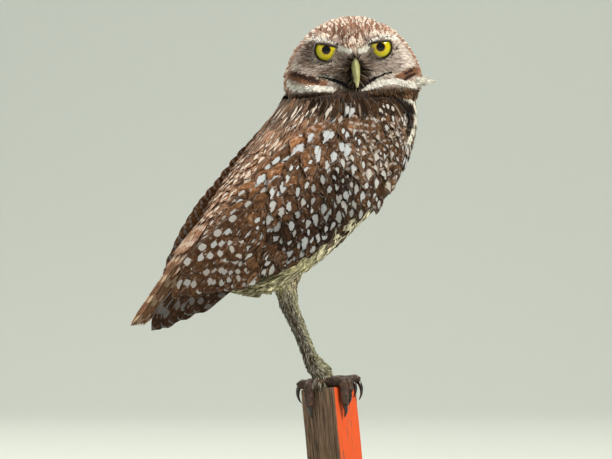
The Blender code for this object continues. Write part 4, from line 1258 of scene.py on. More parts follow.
def throat(points: Array) -> tuple[Array, Array]:
    """Shares of the white bib with its outer line, and of the black crescent inside that line."""
    forward, left, up = in_body(points)
    near = points - 2 * np.maximum(left, 0.0)[:, None] * LEFT
    lines = []
    for corners in (
        ((10.9, 216), (10.23, 220), (9.93, 236), (9.31, 239), (8.81, 240), (8.27, 236), (7.72, 230)),
        ((10.9, 202), (10.35, 207), (9.9, 215), (9.33, 221), (8.76, 226), (8.19, 225)),
    ):
        at, angle = np.array(corners, float).T
        path = TRUNK.point(np.interp(np.linspace(0, 1, 40), np.linspace(0, 1, len(at)), at),
                           np.radians(np.interp(np.linspace(0, 1, 40), np.linspace(0, 1, len(at)), angle)))
        lines.append(np.sqrt(((near[:, None] - path[None]) ** 2).sum(axis=-1).min(axis=1)))
    bib = ease(np.abs(left), 14.5, 12.0) * ease(forward, 66.0, 70.0) * ease(up, 2.0, -8.0)
    return np.maximum(bib, ease(lines[0], 3.8, 2.4)), ease(lines[1], 4.6, 3.0)


def trunk_colours(forward: Array, left: Array, up: Array, rng: Draws) -> tuple[Array, Array, Array, Array]:
    """Colours and marks for vanes of the trunk.

    Args:
        forward: Tip places forward.
        left: Tip places to the left.
        up: Tip places up.
        rng: Draws the variation.

    Returns:
        Ground colours, mark colours, spots and bands.
    """
    count = len(forward)
    draw, other = rng.random(count), rng.random(count)
    patch = clumps(forward, up + 0.6 * left, 5.0)
    tone = blend(BROWN * 0.7, WARM_BROWN, 0.55 * draw**1.3 + 0.45 * patch)
    height = forward + up
    collar = ease(height, 54.5, 63.5)
    nape = ease(height, 38.0, 48.0)
    back = ease(up, 16.0, 30.0)
    breast = ease(height, 34.0, 46.0) * (1 - back)
    tone = layered(
        tone, (paint(184, 136, 104), (0.35 + 0.6 * other) * back * (1 - collar)),
        (RUSSET * 0.85, 0.4 * breast * (1 - collar) * other),
        (DARK_BROWN * 0.8, 0.85 * collar * (draw < 0.85))
    )
    row = (
        0.8 * hill(line_distance(forward, up, ((50, 18), (44, 16), (33, 23), (22, 29)))[0], 5.0)
        * (draw > 0.4)
    )
    tint = blend(WHITE_MARK, BUFF_MARK, np.clip(0.3 * other + 0.4 * back + 0.9 * breast * draw - row, 0, 1))
    size = rng.uniform(1.8, 3.1, count) * (1 - back * (0.1 + 0.4 * nape)) * (1 - 0.35 * breast)
    size = size * (rng.random(count) > 0.10 + 0.45 * collar)
    tint = blend(tint, CROWN_PALE * 1.1, 0.8 * back * (1 - row))
    size = size * (1 + 0.9 * row)
    spot = columns(rng.choice([-0.3, 0.3], count) * (1 - 0.6 * back), rng.uniform(0.70, 0.82, count), size)
    streak = np.maximum(back * 0.45 * (draw > 0.5 + 0.3 * nape), 0.5 * breast) * (1 - collar)
    streak = 0.9 * np.maximum(streak, 0.6 * collar * (draw > 0.5)) * (other > 0.55)
    belly = ease(belly_edge(forward) - up, -0.5, 1.5)
    tone = blend(tone, BELLY * 1.1, belly)
    tint = blend(tint, BROWN * 0.9, belly)
    vent = ease(forward, -8.0, -30.0) * belly
    tone = blend(tone, DOWN, vent)
    bib, border = throat(body_point(forward, left, up))
    spot[:, 2] *= (1 - belly) * (1 - bib) * (1 - 0.9 * border)
    bars = belly * (1 - vent) * (rng.random(count) > 0.25)
    tone = blend(
        tone, BROWN * 0.9, belly * (1 - vent) * ease(clumps(forward, up + 0.4 * left, 1.7), 0.55, 0.66)
    )
    bars = np.maximum(
        bars, 0.6 * breast * (1 - belly) * (1 - collar) * (1 - bib) * (1 - border) * (other > 0.4)
    )
    bands = columns(2.0 + breast * (1 - belly), bars, streak * (1 - belly) * (1 - bib) * (1 - border))
    return tone, tint, spot, bands


def distance_group() -> Tree:
    """The group that gives the distance from a place to a straight piece between two corners.

    The place's share along the piece, held between 0 and 1, gives the nearest point; the distance is
    the length from there to the place.
    """
    group, s, given, result = new_group(
        "piece_distance", {"Place": VECTOR, "First": VECTOR, "Second": VECTOR}, {"Distance": FLOAT},
    )
    step = s.vector("SUBTRACT", given["Second"], given["First"])
    away = s.vector("SUBTRACT", given["Place"], given["First"])
    share = s.math("DIVIDE", s.dot(away, step), s.dot(step, step), clamp=True)
    rest = s.vector("SUBTRACT", away, s.shade(step, share))
    s.put(result, {"Distance": s.math("SQRT", s.dot(rest, rest))})
    return group


def face_material(distance: Tree) -> Material:
    """The face's finish: each vane's own colour, then the face's lines and the dark round the bill."""
    made, s, shader = fresh_material("face_feathers")
    drawn = s.stored("tone", True)
    x, y, z = s.own_place(HEAD.centre, HEAD.turned)
    chance = s.apart(s.stored("blade"))[2]
    wobble = s.noise(s.join(x, y, z), 0.3, 1.0)
    px = s.plus(x, s.line(chance, 1.2, -0.6))
    pz = s.plus(s.plus(z, s.line(chance, 1.1, -0.55)), s.line(wobble, 1.6, -0.8))
    place = s.join(px, pz, 0.0)
    steady = s.join(x, s.plus(z, s.line(chance, 0.9, -0.45)), 0.0)
    facing = s.ramp(y, 1.0, -5.0)
    colour = drawn
    for layer in FaceMarkings().layers:
        nearest = None
        for half, corners in layer.lines:
            for first, second in zip(corners[:-1], corners[1:]):
                piece = s.use(distance, {
                    "Place": steady if layer.name == "smile" else place, "First": (*first, 0.0),
                    "Second": (*second, 0.0)
                })
                reach = s.less(piece["Distance"], half)
                nearest = reach if nearest is None else s.math("MINIMUM", nearest, reach)
        share = s.times(s.ramp(nearest, layer.soft, 0.0), facing)
        if layer.name == "bristle":
            share = s.times(share, s.ramp(s.math("FRACT", s.times(chance, 11.0)), 0.8, 0.5, 0.3, 1.0))
        colour = s.mix(share, colour, rgba(*layer.colour))
    streaks = s.noise(s.join(s.times(x, 2.2), z, s.times(chance, 40.0)), 0.9, 3.0)
    gain = s.line(s.math("FRACT", s.times(chance, 37.0)), 0.56, -0.28)
    gain = s.plus(s.line(streaks, 1.1, 0.42), gain)
    s.put(shader, {
        "Base Color": s.mix(1.0, colour, s.join(gain, gain, gain), "MULTIPLY"),
        "Roughness": s.line(streaks, 0.15, 0.55), "Specular IOR Level": 0.15,
    })
    return made


@dataclass
class Coat:
    """The small feathers of trunk and head."""

    group: Tree
    seed: int = 11
    trunk_step: float = 5.8
    crown_count: int = 1250
    face_count: int = 6400
    vent_count: int = 1100
    bristle_count: int = 230
    ear_count: int = 70
    markings: FaceMarkings = field(default_factory=FaceMarkings)

    def trunk_roots(self, rng: Draws) -> tuple[Array, Array, Array]:
        """Ring positions, angles and steps of the roots, in staggered rows that close up at the neck."""
        positions, angles, steps = [], [], []
        at, row = 0.9, 0
        full_turn = np.linspace(0, 2 * math.pi, 145)
        while at < 11.3:
            step = self.trunk_step * (1 - 0.36 * float(ease(at, 6.2, 8.6)))
            ring = TRUNK.point(np.full(145, at), full_turn)
            share = np.insert(np.cumsum(np.linalg.norm(np.diff(ring, axis=0), axis=-1)), 0, 0.0)
            count = int(share[-1] / step)
            wanted = (np.arange(count) + 0.5 * (row % 2)) * share[-1] / count
            angles.append(np.interp(wanted, share, full_turn))
            positions.append(np.full(count, at))
            steps.append(np.full(count, step))
            at += 0.85 * step / np.linalg.norm(TRUNK.steps(np.array([at]), np.array([0.3]))[0])
            row += 1
        at, angle, step = np.concatenate(positions), np.concatenate(angles), np.concatenate(steps)
        return at + rng.normal(0, 0.05, len(at)), angle + rng.normal(0, 0.015, len(at)), step

    def trunk(self) -> list[Piece]:
        """The feathers of back, sides, breast and belly in two pieces, none where the wings hide them."""
        rng = np.random.default_rng(self.seed)
        at, angle, step = self.trunk_roots(rng)
        forward, left, up = in_body(TRUNK.point(at, angle))
        low, high = WingForm(1).edges(forward)
        hidden = (up > low + 9) & (up < high - 9) & (forward < 60) & (forward > -44) & (np.abs(left) > 12)
        near_face = HEAD.to_head(TRUNK.point(at, angle))
        hidden |= (near_face[:, 1] < -4.0) & (near_face[:, 2] > -7.5)
        at, angle, step, forward, left, up = (v[~hidden] for v in (at, angle, step, forward, left, up))
        count = len(at)
        narrow = 1 - 0.3 * ease(up, 20.0, 32.0)
        length = 3.0 * step * rng.uniform(0.92, 1.08, count) * (0.5 + 0.5 * narrow)
        half = 0.9 * step * rng.uniform(0.9, 1.1, count) * narrow
        turn = (
            rng.normal(0, 0.07, count)
            - 0.75 * np.cos(angle) * ease(forward, 5.0, 45.0) * ease(up, 32.0, 4.0)
        )
        tips = TRUNK.lay(at, angle, turn)(length[:, None] * 0.85, np.zeros((count, 1)), np.zeros((count, 1)))
        tone, tint, spot, bands = trunk_colours(*in_body(tips[:, 0]), rng)
        place = TRUNK.unwrap(at, angle)
        pieces = []
        front = at > 6.4
        for name, own in (("coat_front", front), ("coat_rear", ~front)):
            vanes = Vanes(
                lay=TRUNK.lay(at[own], angle[own], turn[own]), length=length[own], half=half[own],
                low=-1.7 + 2.2 * ease(at[own], 9.6, 10.4), high=rng.normal(0.12, 0.1, own.sum()),
                tone=tone[own], tint=tint[own], spot=spot[own], bands=bands[own], place=place[own], sag=0.2,
                slim=(0.4 + 0.3 * narrow)[own] * 0.9, painter=self.trunk_painter(tone[own])
            )
            pieces.append(make_vanes(name, Lie.BODY, vanes, rng))
        return pieces

    def trunk_painter(self, tone: Array) -> Callable[[Array, Array], Array]:
        """What colours the trunk's mesh points: each vane's tone, mottled, with the throat's marks on it."""
        return lambda points, vane: self.throated(points, mottled(points, tone[vane]))

    def vent(self) -> Piece:
        """Loose down between the legs and under the tail, which hangs below the wings' edges."""
        rng = np.random.default_rng(self.seed + 5)
        count = self.vent_count
        at = rng.uniform(1.0, 3.2, count)
        angle = np.radians(rng.uniform(232.0, 308.0, count))
        turn = rng.normal(0.0, 0.25, count)
        loose = 1 - 0.6 * ease(at, 2.4, 3.2)
        tone = blend(DOWN, BELLY * 0.8, rng.random(count)) * rng.uniform(0.8, 1.1, (count, 1))
        vanes = Vanes(
            lay=TRUNK.lay(at, angle, turn), length=rng.uniform(8.0, 14.0, count),
            half=rng.uniform(0.4, 0.8, count), low=-1.0, high=rng.uniform(1.0, 10.0, count) * loose,
            tone=tone, place=TRUNK.unwrap(at, angle)
        )
        return make_vanes("coat_vent", Lie.DOWN, vanes, rng)

    def bristles(self) -> Piece:
        """The long bristles that spread from the root of the bill, down to the line of the mouth."""
        rng = np.random.default_rng(self.seed + 7)
        count = self.bristle_count
        spin = rng.uniform(math.radians(-80), math.radians(260), count)
        far = rng.uniform(1.0, 1.5, count)
        cos, sin = np.cos(spin), np.sin(spin)
        way = unit(columns(0.5 + 2.6 * far * cos, -30.0, 5.4 + 5.0 * far * sin))
        root = way * (HEAD.radius(way)[:, None] - 0.3)
        aim = columns(cos * 1.2, -0.35, sin * 0.8 - 0.35)
        ahead = unit(aim + rng.normal(0, 0.16, aim.shape))
        aside = unit(np.cross(ahead, way))
        out = np.cross(aside, ahead)
        out = out * np.sign((out * way).sum(axis=-1, keepdims=True))
        draw = rng.random(count)
        tone = layered(BLACK, (DISC_BROWN * 0.7, draw**2), (paint(150, 132, 112), draw > 0.9))
        vanes = Vanes(
            lay=straight(root, ahead, aside, out, 0.035, HEAD.to_world),
            length=rng.uniform(4.5, 7.5, count) * (1 - 0.35 * (sin > 0.5)),
            half=rng.uniform(0.16, 0.3, count), low=0.0, high=0.2, tone=tone,
            place=columns(0.5 + 0.01 * cos, 0.02 + 0.02 * far)
        )
        return make_vanes("coat_bristles", Lie.FINE, vanes, rng)

    def ear_tuft(self) -> Piece:
        """The white feathers that stand out from the end of the white band, on the owl's left."""
        rng = np.random.default_rng(self.seed + 6)
        count = self.ear_count
        share = rng.random(count)
        root = columns(33.0 + 5.0 * share, -16.0 + 8.0 * rng.random(count), -1.2 - 3.2 * rng.random(count))
        ahead = unit(np.array([1.0, 0.15, 0.02]) + rng.normal(0, 0.06, (count, 3)))
        aside = unit(np.cross(ahead, np.array([0.0, -1.0, 0.2])))
        tone = BAND_WHITE * rng.uniform(0.8, 1.0, (count, 1))
        vanes = Vanes(
            lay=straight(root, ahead, aside, np.cross(aside, ahead), carry=HEAD.to_world),
            length=rng.uniform(6.0, 10.5, count), half=rng.uniform(0.6, 1.1, count), low=0.0,
            high=rng.normal(0.0, 0.5, count), tone=tone, place=columns(0.9 + 0.05 * share, 0.45),
        )
        return make_vanes("coat_ear", Lie.DOWN, vanes, rng)

    @staticmethod
    def throated(points: Array, tone: Array) -> Array:
        """A tone with the black crescent and the white line and bib laid over it, near the neck only."""
        near = points[:, 2] > STAKE_TOP + 128.0
        white, black = throat(points[near])
        tone[near] = blend(blend(tone[near], BLACK, 0.9 * black), BAND_WHITE, white)
        return tone

    @staticmethod
    def head_roots(total: int, rng: Draws) -> Array:
        """Directions from the head's centre, evenly spread on a spiral over the sphere."""
        index = np.arange(total) + 0.5
        polar = np.arccos(1 - 2 * index / total)
        way = sphere_ways(polar, index * GOLDEN_TURN)
        return unit(way + rng.normal(0, 0.008, way.shape))

    def head(self) -> list[Piece]:
        """The head's feathers: broad ones on crown and nape, fine ones on the face."""
        rng = np.random.default_rng(self.seed + 1)
        pieces = []
        for name, total, kind in (("coat_crown", self.crown_count, Lie.SMALL), (
            "coat_face", self.face_count, Lie.FINE
        )):
            way = self.head_roots(total, rng)
            places = way * HEAD.radius(way)[:, None]
            face = (
                (-places[:, 1] > 14.0) & (places[:, 2] < (29.5 if kind is Lie.FINE else 25.0))
                & (places[:, 2] > -7.0)
            )
            chosen = face if kind is Lie.FINE else ~face & (places[:, 2] > -17.0)
            way = way[chosen & self.bare(places)]
            if kind is Lie.FINE:
                way = self.more_roots(way, rng)
            root = way * HEAD.radius(way)[:, None]
            count = len(root)
            draw, other = rng.random(count), rng.random(count)
            tone, tint, spot, bands = self.markings.paint_head(root, draw, other)
            flow = unit(self.markings.flow(root)) + rng.normal(0, 0.13, root.shape)
            near = HEAD.past_lids(root)
            near = np.minimum(near, 0.5 + 1.6 * np.clip(HEAD.past_lids(root + 3.0 * unit(flow)), 0, 9))
            if kind is Lie.FINE:
                length = np.clip(1.5 + 0.45 * near, 1.5, 6.2) * rng.uniform(0.8, 1.2, count)
                half = np.clip(0.35 + 0.07 * near, 0.4, 0.72) * rng.uniform(0.85, 1.15, count)
                low, high = np.full(count, -1.0), rng.normal(0.3, 0.16, count) * np.clip(near / 3, 0.3, 1)
            else:
                length = rng.uniform(8.5, 12.5, count) * (1 - 0.2 * ease(-root[:, 1], 10.0, 20.0))
                half = rng.uniform(2.2, 3.1, count)
                low, high = np.full(count, -1.5), rng.normal(0.3, 0.15, count)

            def painted(points: Array, vane: Array, draw: Array = draw, other: Array = other) -> Array:
                """Ground colours at the mesh's own points."""
                own = self.markings.paint_head(HEAD.to_head(points), draw[vane], other[vane])[0]
                return own * (0.86 + 0.28 * other[vane, None])

            place = columns(
                np.arctan2(way[:, 2], way[:, 0]) / (2 * math.pi) + 0.5,
                np.arccos(np.clip(-way[:, 1], -1, 1)) / math.pi
            )
            vanes = Vanes(
                lay=HEAD.lay(way, flow), length=length, half=half, low=low, high=high, tone=tone, tint=tint,
                spot=spot, bands=bands, place=place, slim=0.2, painter=painted,
            )
            pieces.append(make_vanes(name, kind, vanes, rng))
        return pieces

    @staticmethod
    def more_roots(way: Array, rng: Draws) -> Array:
        """Roots packed closer by two more beside each, less those that reach an eye or the bill."""
        packed = unit(
            np.concatenate([
                way, way + rng.normal(0, 0.022, way.shape), way + rng.normal(0, 0.022, way.shape)
            ])
        )
        return packed[Coat.bare(packed * HEAD.radius(packed)[:, None])]

    @staticmethod
    def bare(places: Array) -> Array:
        """Which places on the head carry feathers: all but the eyes' openings and the bill's root."""
        bill = (
            (np.hypot((places[:, 0] - 0.5) / 1.9, (places[:, 2] - 4.0) / 7.5) < 1.0) & (places[:, 1] < -14.0)
        )
        return (HEAD.past_lids(places) > 0.3) & ~bill


@dataclass
class Skin:
    """The one skin under the coat: trunk, neck, head, thighs and shanks, fused and evened."""

    trunk_depth: float = 3.4
    head_depth: float = 1.9
    voxel: float = 1.25
    trunk_span: tuple = (0.05, 10.6)
    trunk_grid: tuple = (60, 64)
    head_grid: tuple = (70, 110)
    pole: float = 0.02

    def make(self, legs: list[Leg]) -> Piece:
        """Fuses the forms by one remesh and stores the coat's colours on the points."""
        rows, around = self.trunk_grid
        at, angle = np.meshgrid(np.linspace(*self.trunk_span, rows), circle(around), indexing="ij")
        trunk = tube_mesh("skin", TRUNK.place(at, angle, np.full(at.shape, -self.trunk_depth)))
        way = sphere_grid(self.pole, *self.head_grid)
        head = tube_mesh("skin_head", HEAD.place(way, np.full(way.shape[:2], -self.head_depth)))
        parts = [trunk, head] + [tube_mesh("skin_leg", leg.skin_rings()) for leg in legs]
        with bpy.context.temp_override(active_object=trunk, selected_editable_objects=parts, object=trunk):
            bpy.ops.object.join()
        remesh = trunk.modifiers.new("even", "REMESH")
        remesh.mode = "VOXEL"
        remesh.voxel_size = self.voxel * MM
        graph = bpy.context.evaluated_depsgraph_get()
        mesh = bpy.data.meshes.new_from_object(trunk.evaluated_get(graph), depsgraph=graph)
        trunk.modifiers.clear()
        old = trunk.data
        trunk.data = mesh
        bpy.data.meshes.remove(old)
        mesh.shade_smooth()
        places = np.zeros(len(mesh.vertices) * 3, np.float32)
        mesh.vertices.foreach_get("co", places)
        set_point_values(trunk, "tone", self.colours(places.reshape(-1, 3) / MM), colour=True)
        mesh.materials.clear()
        return trunk

    @staticmethod
    def colours(points: Array) -> Array:
        """The coat's ground colours at points of the skin, a little darker."""
        rng = np.random.default_rng(5)
        forward, left, up = in_body(points)
        tone = trunk_colours(forward, left, up, rng)[0]
        head = HEAD.to_head(points)
        on_head = ease(head[:, 2], -12.0, -8.0) * (points[:, 2] > STAKE_TOP + 168)
        chance = rng.random((2, len(points)))
        tone = blend(tone, FaceMarkings().paint_head(head, *chance)[0], on_head)
        leg = ease(points[:, 2], STAKE_TOP + 74.0, STAKE_TOP + 66.0)
        return blend(tone, SHANK_GREY, leg) * 0.8


@dataclass
class Leg:
    """One leg: thigh and shank under short feathers, a foot of four scaly toes, and four claws."""

    name: str
    foot: tuple
    shank: tuple
    thigh: tuple
    toes: dict
    seed: int
    tuft_count: int = 2600
    toe_radius: float = 2.7
    gap: float = 0.3
    line_points: int = 120
    skin_grid: tuple = (44, 28)
    toe_grid: tuple = (40, 20)
    claw_grid: tuple = (26, 14)
    pad_grid: tuple = (16, 28)
    pad_radius: float = 6.2
    pad_height: float = 3.4
    shank_radii: tuple = (4.9, 4.9, 4.6, 4.15, 4.1, 4.5, 5.2)
    thigh_radii: tuple = (5.6, 6.2, 5.9, 7.2, 11.0)
    edge_ways: dict = field(
        default_factory=lambda: {"+x": (1, 0), "-x": (-1, 0), "+y": (0, 1), "-y": (0, -1)}
    )

    def middle_line(self, count: int) -> tuple[Array, Array]:
        """The leg's middle line from the foot up, with its radii."""
        base = stake_place(np.append(np.array(self.foot), self.toe_radius + 1.2))
        rise = base + (0, 0, 3.0)
        top = np.array([0.0, 0.0, STAKE_TOP])
        corners = np.vstack([
            [rise - (0.2, 0.8, 2.6), rise + (0, 0, 2.0), base + (-3.3, -0.6, 9.5)],
            np.array(self.shank) + top, np.array(self.thigh) + top
        ])
        radii = np.concatenate([self.shank_radii, self.thigh_radii[2:]])
        line = smooth_line(corners, count)
        return line, curve_rows(np.array(radii)[:, None], np.linspace(0, len(radii) - 1, count))[:, 0]

    def skin_rings(self) -> Array:
        """Rings of the leg's skin, under its short coat."""
        rows, around = self.skin_grid
        line, radii = self.middle_line(rows)
        return sweep(line, radii - 0.9 - 1.6 * ease(radii, 5.2, 9.0), around, (0, 1, 0))

    def coat(self) -> Piece:
        """Short tufts laid down the shank, longer and softer up the thigh."""
        rng = np.random.default_rng(self.seed)
        line, radii = self.middle_line(self.line_points)
        tangents = unit(np.gradient(line, axis=0))
        run = np.insert(np.cumsum(np.linalg.norm(np.diff(line, axis=0), axis=1)), 0, 0.0)
        count = self.tuft_count
        share = (np.arange(count) + rng.random(count)) / count
        at = np.interp(share, np.linspace(0, 1, self.line_points), run) * 0.97 + 1.0
        spin = np.arange(count) * GOLDEN_TURN + rng.normal(0, 0.2, count)
        centre = np.stack([np.interp(at, run, line[:, k]) for k in range(3)], axis=-1)
        tangent = unit(np.stack([np.interp(at, run, tangents[:, k]) for k in range(3)], axis=-1))
        radius = np.interp(at, run, radii)
        first = unit(np.cross(tangent, np.array([0.0, 1.0, 0.0])))
        second = np.cross(tangent, first)
        out = np.cos(spin)[:, None] * first + np.sin(spin)[:, None] * second
        big = ease(radius, 5.4, 9.5)
        length = (4.2 + 4.5 * big + 4.0 * ease(at, 7.0, 1.0)) * rng.uniform(0.8, 1.2, count)
        half = (0.5 + 0.35 * big) * rng.uniform(0.8, 1.2, count)
        root = centre + out * (radius - 1.2 - 1.2 * big)[:, None]
        taper = (radius - np.interp(at - length, run, radii)) / length
        down = -tangent - 0.9 * taper[:, None] * out + rng.normal(0, 0.06, tangent.shape)
        ahead = unit(down)
        aside = unit(np.cross(out, ahead))
        low_leg = 1 - ease(centre[:, 2], STAKE_TOP + 52.0, STAKE_TOP + 66.0)
        # Painted light: tufts that face +x are painted a pale lit grey, and the brown flecks are kept off
        # them, so the other side reads darker.
        pale = ease(out[:, 0], 0.3, 0.95)
        tone = layered(DOWN * 0.85, (SHANK_GREY * 0.72, low_leg), (
            paint(78, 62, 42), low_leg * (rng.random(count) < 0.45) * (1 - pale)
        ))
        tone = blend(tone, paint(166, 164, 124), low_leg * pale * 0.8) * rng.uniform(0.8, 1.05, (count, 1))
        barred = ease(centre[:, 2], STAKE_TOP + 60.0, STAKE_TOP + 68.0) * ease(root[:, 0], -34.0, -28.0)
        tone = blend(tone, BROWN, barred * ease(clumps(root[:, 0], root[:, 2], 1.7), 0.55, 0.68))
        vanes = Vanes(
            lay=straight(root, ahead, aside, out), length=length, half=half, low=-0.2,
            high=rng.uniform(0.9, 1.4, count) + 0.6 * big + 1.2 * ease(at, 7.0, 1.0), tone=tone,
            tint=BAND_WHITE, bands=columns(0.0, 0.0, 0.35 * (rng.random(count) > 0.5)),
            place=columns(spin / (2 * math.pi) % 1.0, share)
        )
        return make_vanes(f"coat_leg_{self.name}", Lie.DOWN, vanes, rng)

    def toe_line(self, way: str, place: float, drop: float) -> Array:
        """A toe's middle line in the stake's frame: along the top, round the edge, down the side."""
        out = np.array(self.edge_ways[way], float)
        along = np.abs(out[::-1])
        off = self.toe_radius + self.gap
        start = np.array(self.foot, float)
        edge = out * STAKE_HALF + along * place
        top = [np.append(start + (edge - start) * s, off + 0.5 * (1 - s)) for s in (0.0, 0.35, 0.7)]
        bend = [
            np.append(edge + out * off * math.sin(a), off * math.cos(a))
            for a in np.radians([0.0, 30.0, 60.0, 90.0])
        ]
        side = [np.append(edge + out * off, -drop * s) for s in (0.5, 1.0)]
        if drop < 2.0:
            return np.array(top + bend[:3])
        return np.array(top + bend + side)

    def toe_rings(self, way: str, place: float, drop: float) -> Array:
        """Rings of one toe, with pads that swell between its joints and a narrower end."""
        corners = self.toe_line(way, place, drop)
        rows, around = self.toe_grid
        line = smooth_line(corners, rows)
        t = np.linspace(0, 1, rows)
        radius = (
            self.toe_radius * (1.03 + 0.08 * np.cos(t * 6.5 * math.pi)) * (1.12 - 0.12 * ease(t, 0.0, 0.4))
        )
        radius = radius * (1 - 0.30 * ease(t, 0.86, 1.0))
        return stake_place(sweep(line, radius, around, (0.2, 0.3, 1)))

    def claw_rings(self, way: str, place: float, drop: float, length: float, stand_off: float) -> Array:
        """Rings of one claw, curved from the toe's end round towards the wood, tapering to its tip."""
        toe = self.toe_line(way, place, drop)
        heading = unit(toe[-1] - toe[-2])
        out = np.append(np.array(self.edge_ways[way], float), 0.0)
        steps = 7
        first = math.atan2(heading @ out, -heading[2])
        angles = np.linspace(max(first, math.radians(12.0 + 40.0 * stand_off)), -math.radians(38.0), steps)
        seg = length / (steps - 1)
        here = toe[-1] + heading * self.gap
        points = [here - heading * 0.8, here, here + heading * 0.8]
        here = points[-1]
        for angle in angles[2:]:
            here = here + seg * (out * math.sin(angle) + np.array([0, 0, -1.0]) * math.cos(angle))
            points.append(here)
        points = np.array(points)
        inward = points @ out
        short = (
            np.clip(STAKE_HALF + self.gap + 1.65 - inward, 0, None)
            * np.clip(np.linspace(-0.6, 1, len(points)), 0, 1)
        )
        rows, around = self.claw_grid
        line = smooth_line(points + out * short[:, None], rows)
        radii = np.interp(np.linspace(0, 1, rows), [0, 0.1, 0.5, 0.9, 1], [1.2, 1.55, 1.15, 0.45, 0.12])
        return stake_place(sweep(line, radii, around, (0.3, 0.5, 0.8)))

    def dress(self, scaly: Material, horn: Material) -> None:
        """Makes toes, foot pad and claws in place of the plain ones."""
        pieces = []
        for toe, (way, place, drop, claw, stand_off) in self.toes.items():
            pieces.append(tube_mesh(f"toe_{toe}_{self.name}", self.toe_rings(way, place, drop)))
            nail = tube_mesh(f"nail_{toe}_{self.name}", self.claw_rings(way, place, drop, claw, stand_off))
            fit(nail, horn, "claw_horn", f"claw_{toe}_{self.name}")
        rows, around = self.pad_grid
        angle, rise = circle(around), np.linspace(0.05, math.pi - 0.05, rows)[:, None]
        wide, tall = self.pad_radius * np.sin(rise), self.pad_height
        pad = columns(wide * np.cos(angle), wide * np.sin(angle), tall * np.cos(rise))
        pieces.append(tube_mesh(f"pad_{self.name}", stake_place(pad + np.append(np.array(self.foot), tall))))
        for piece in pieces:
            fit(piece, scaly, "toe_skin", f"foot_{self.name}")


@dataclass(frozen=True)
class Tier:
    """One tier of long feathers on a wing.

    Attributes:
        name: The piece's name.
        count: How many feathers.
        roots: First and last root, forward and up.
        tips: First and last tip.
        half: Half width.
        heights: Height over the form at root and tip.
        bars: Number of bars, their strength, and the shaft streak's.
        tone: Ground colour.
        kind: Outline.
        marked: How bright the marks are.
        bow: Sideways bend of each feather.
    """

    name: str
    count: int
    roots: tuple
    tips: tuple
    half: float
    heights: tuple
    bars: tuple
    tone: Array
    kind: Lie = Lie.BODY
    marked: float = 0.85
    bow: float = 0.0


TIERS = (
    Tier("primaries", 6, ((-34, -13), (-44, 10)), ((-100, -1.0), (-125.0, 9.5)), 5.8, (-1.8, -0.2),
         (6.0, 0.3, 0.0), DARK_BROWN, Lie.FLIGHT, 0.42, -3.0),
    Tier("secondaries", 9, ((-26, -10), (-20, 12)), ((-74, -7), (-103, 15)), 5.6, (-0.9, 0.7),
         (7.0, 0.6, 0.0), BROWN * 0.85, Lie.FLIGHT),
    Tier("tertials", 5, ((-14, 6), (-4, 19)), ((-66, 8), (-90, 20)), 5.4, (-0.4, 1.4),
         (7.0, 0.85, 0.0), BROWN, Lie.FLIGHT),
    Tier("greater_coverts", 9, ((-16, -20), (-16, 16)), ((-46, -18), (-55, 15)), 5.4, (-0.4, 1.8),
         (2.0, 0.0, 0.0), BROWN),
    Tier("edge_coverts", 9, ((38, -29), (-48, -13)), ((27, -31.5), (-66, -12)), 3.2, (-1.6, 1.4),
         (1.0, 0.0, 0.6), WARM_BROWN * 0.8),
)
FAR_TIERS = (
    Tier("back_coverts", 8, ((26, 30.5), (-30, 32.5)), ((5, 31.5), (-62, 32.5)), 4.6, (-0.6, 1.0),
         (4.0, 0.7, 0.0), WARM_BROWN * 1.2),
    Tier("rump_coverts", 6, ((-34, 28), (-64, 25.5)), ((-55, 27.2), (-104, 22.6)), 4.8, (-0.6, 0.8),
         (4.0, 0.7, 0.0), WARM_BROWN * 1.2),
)


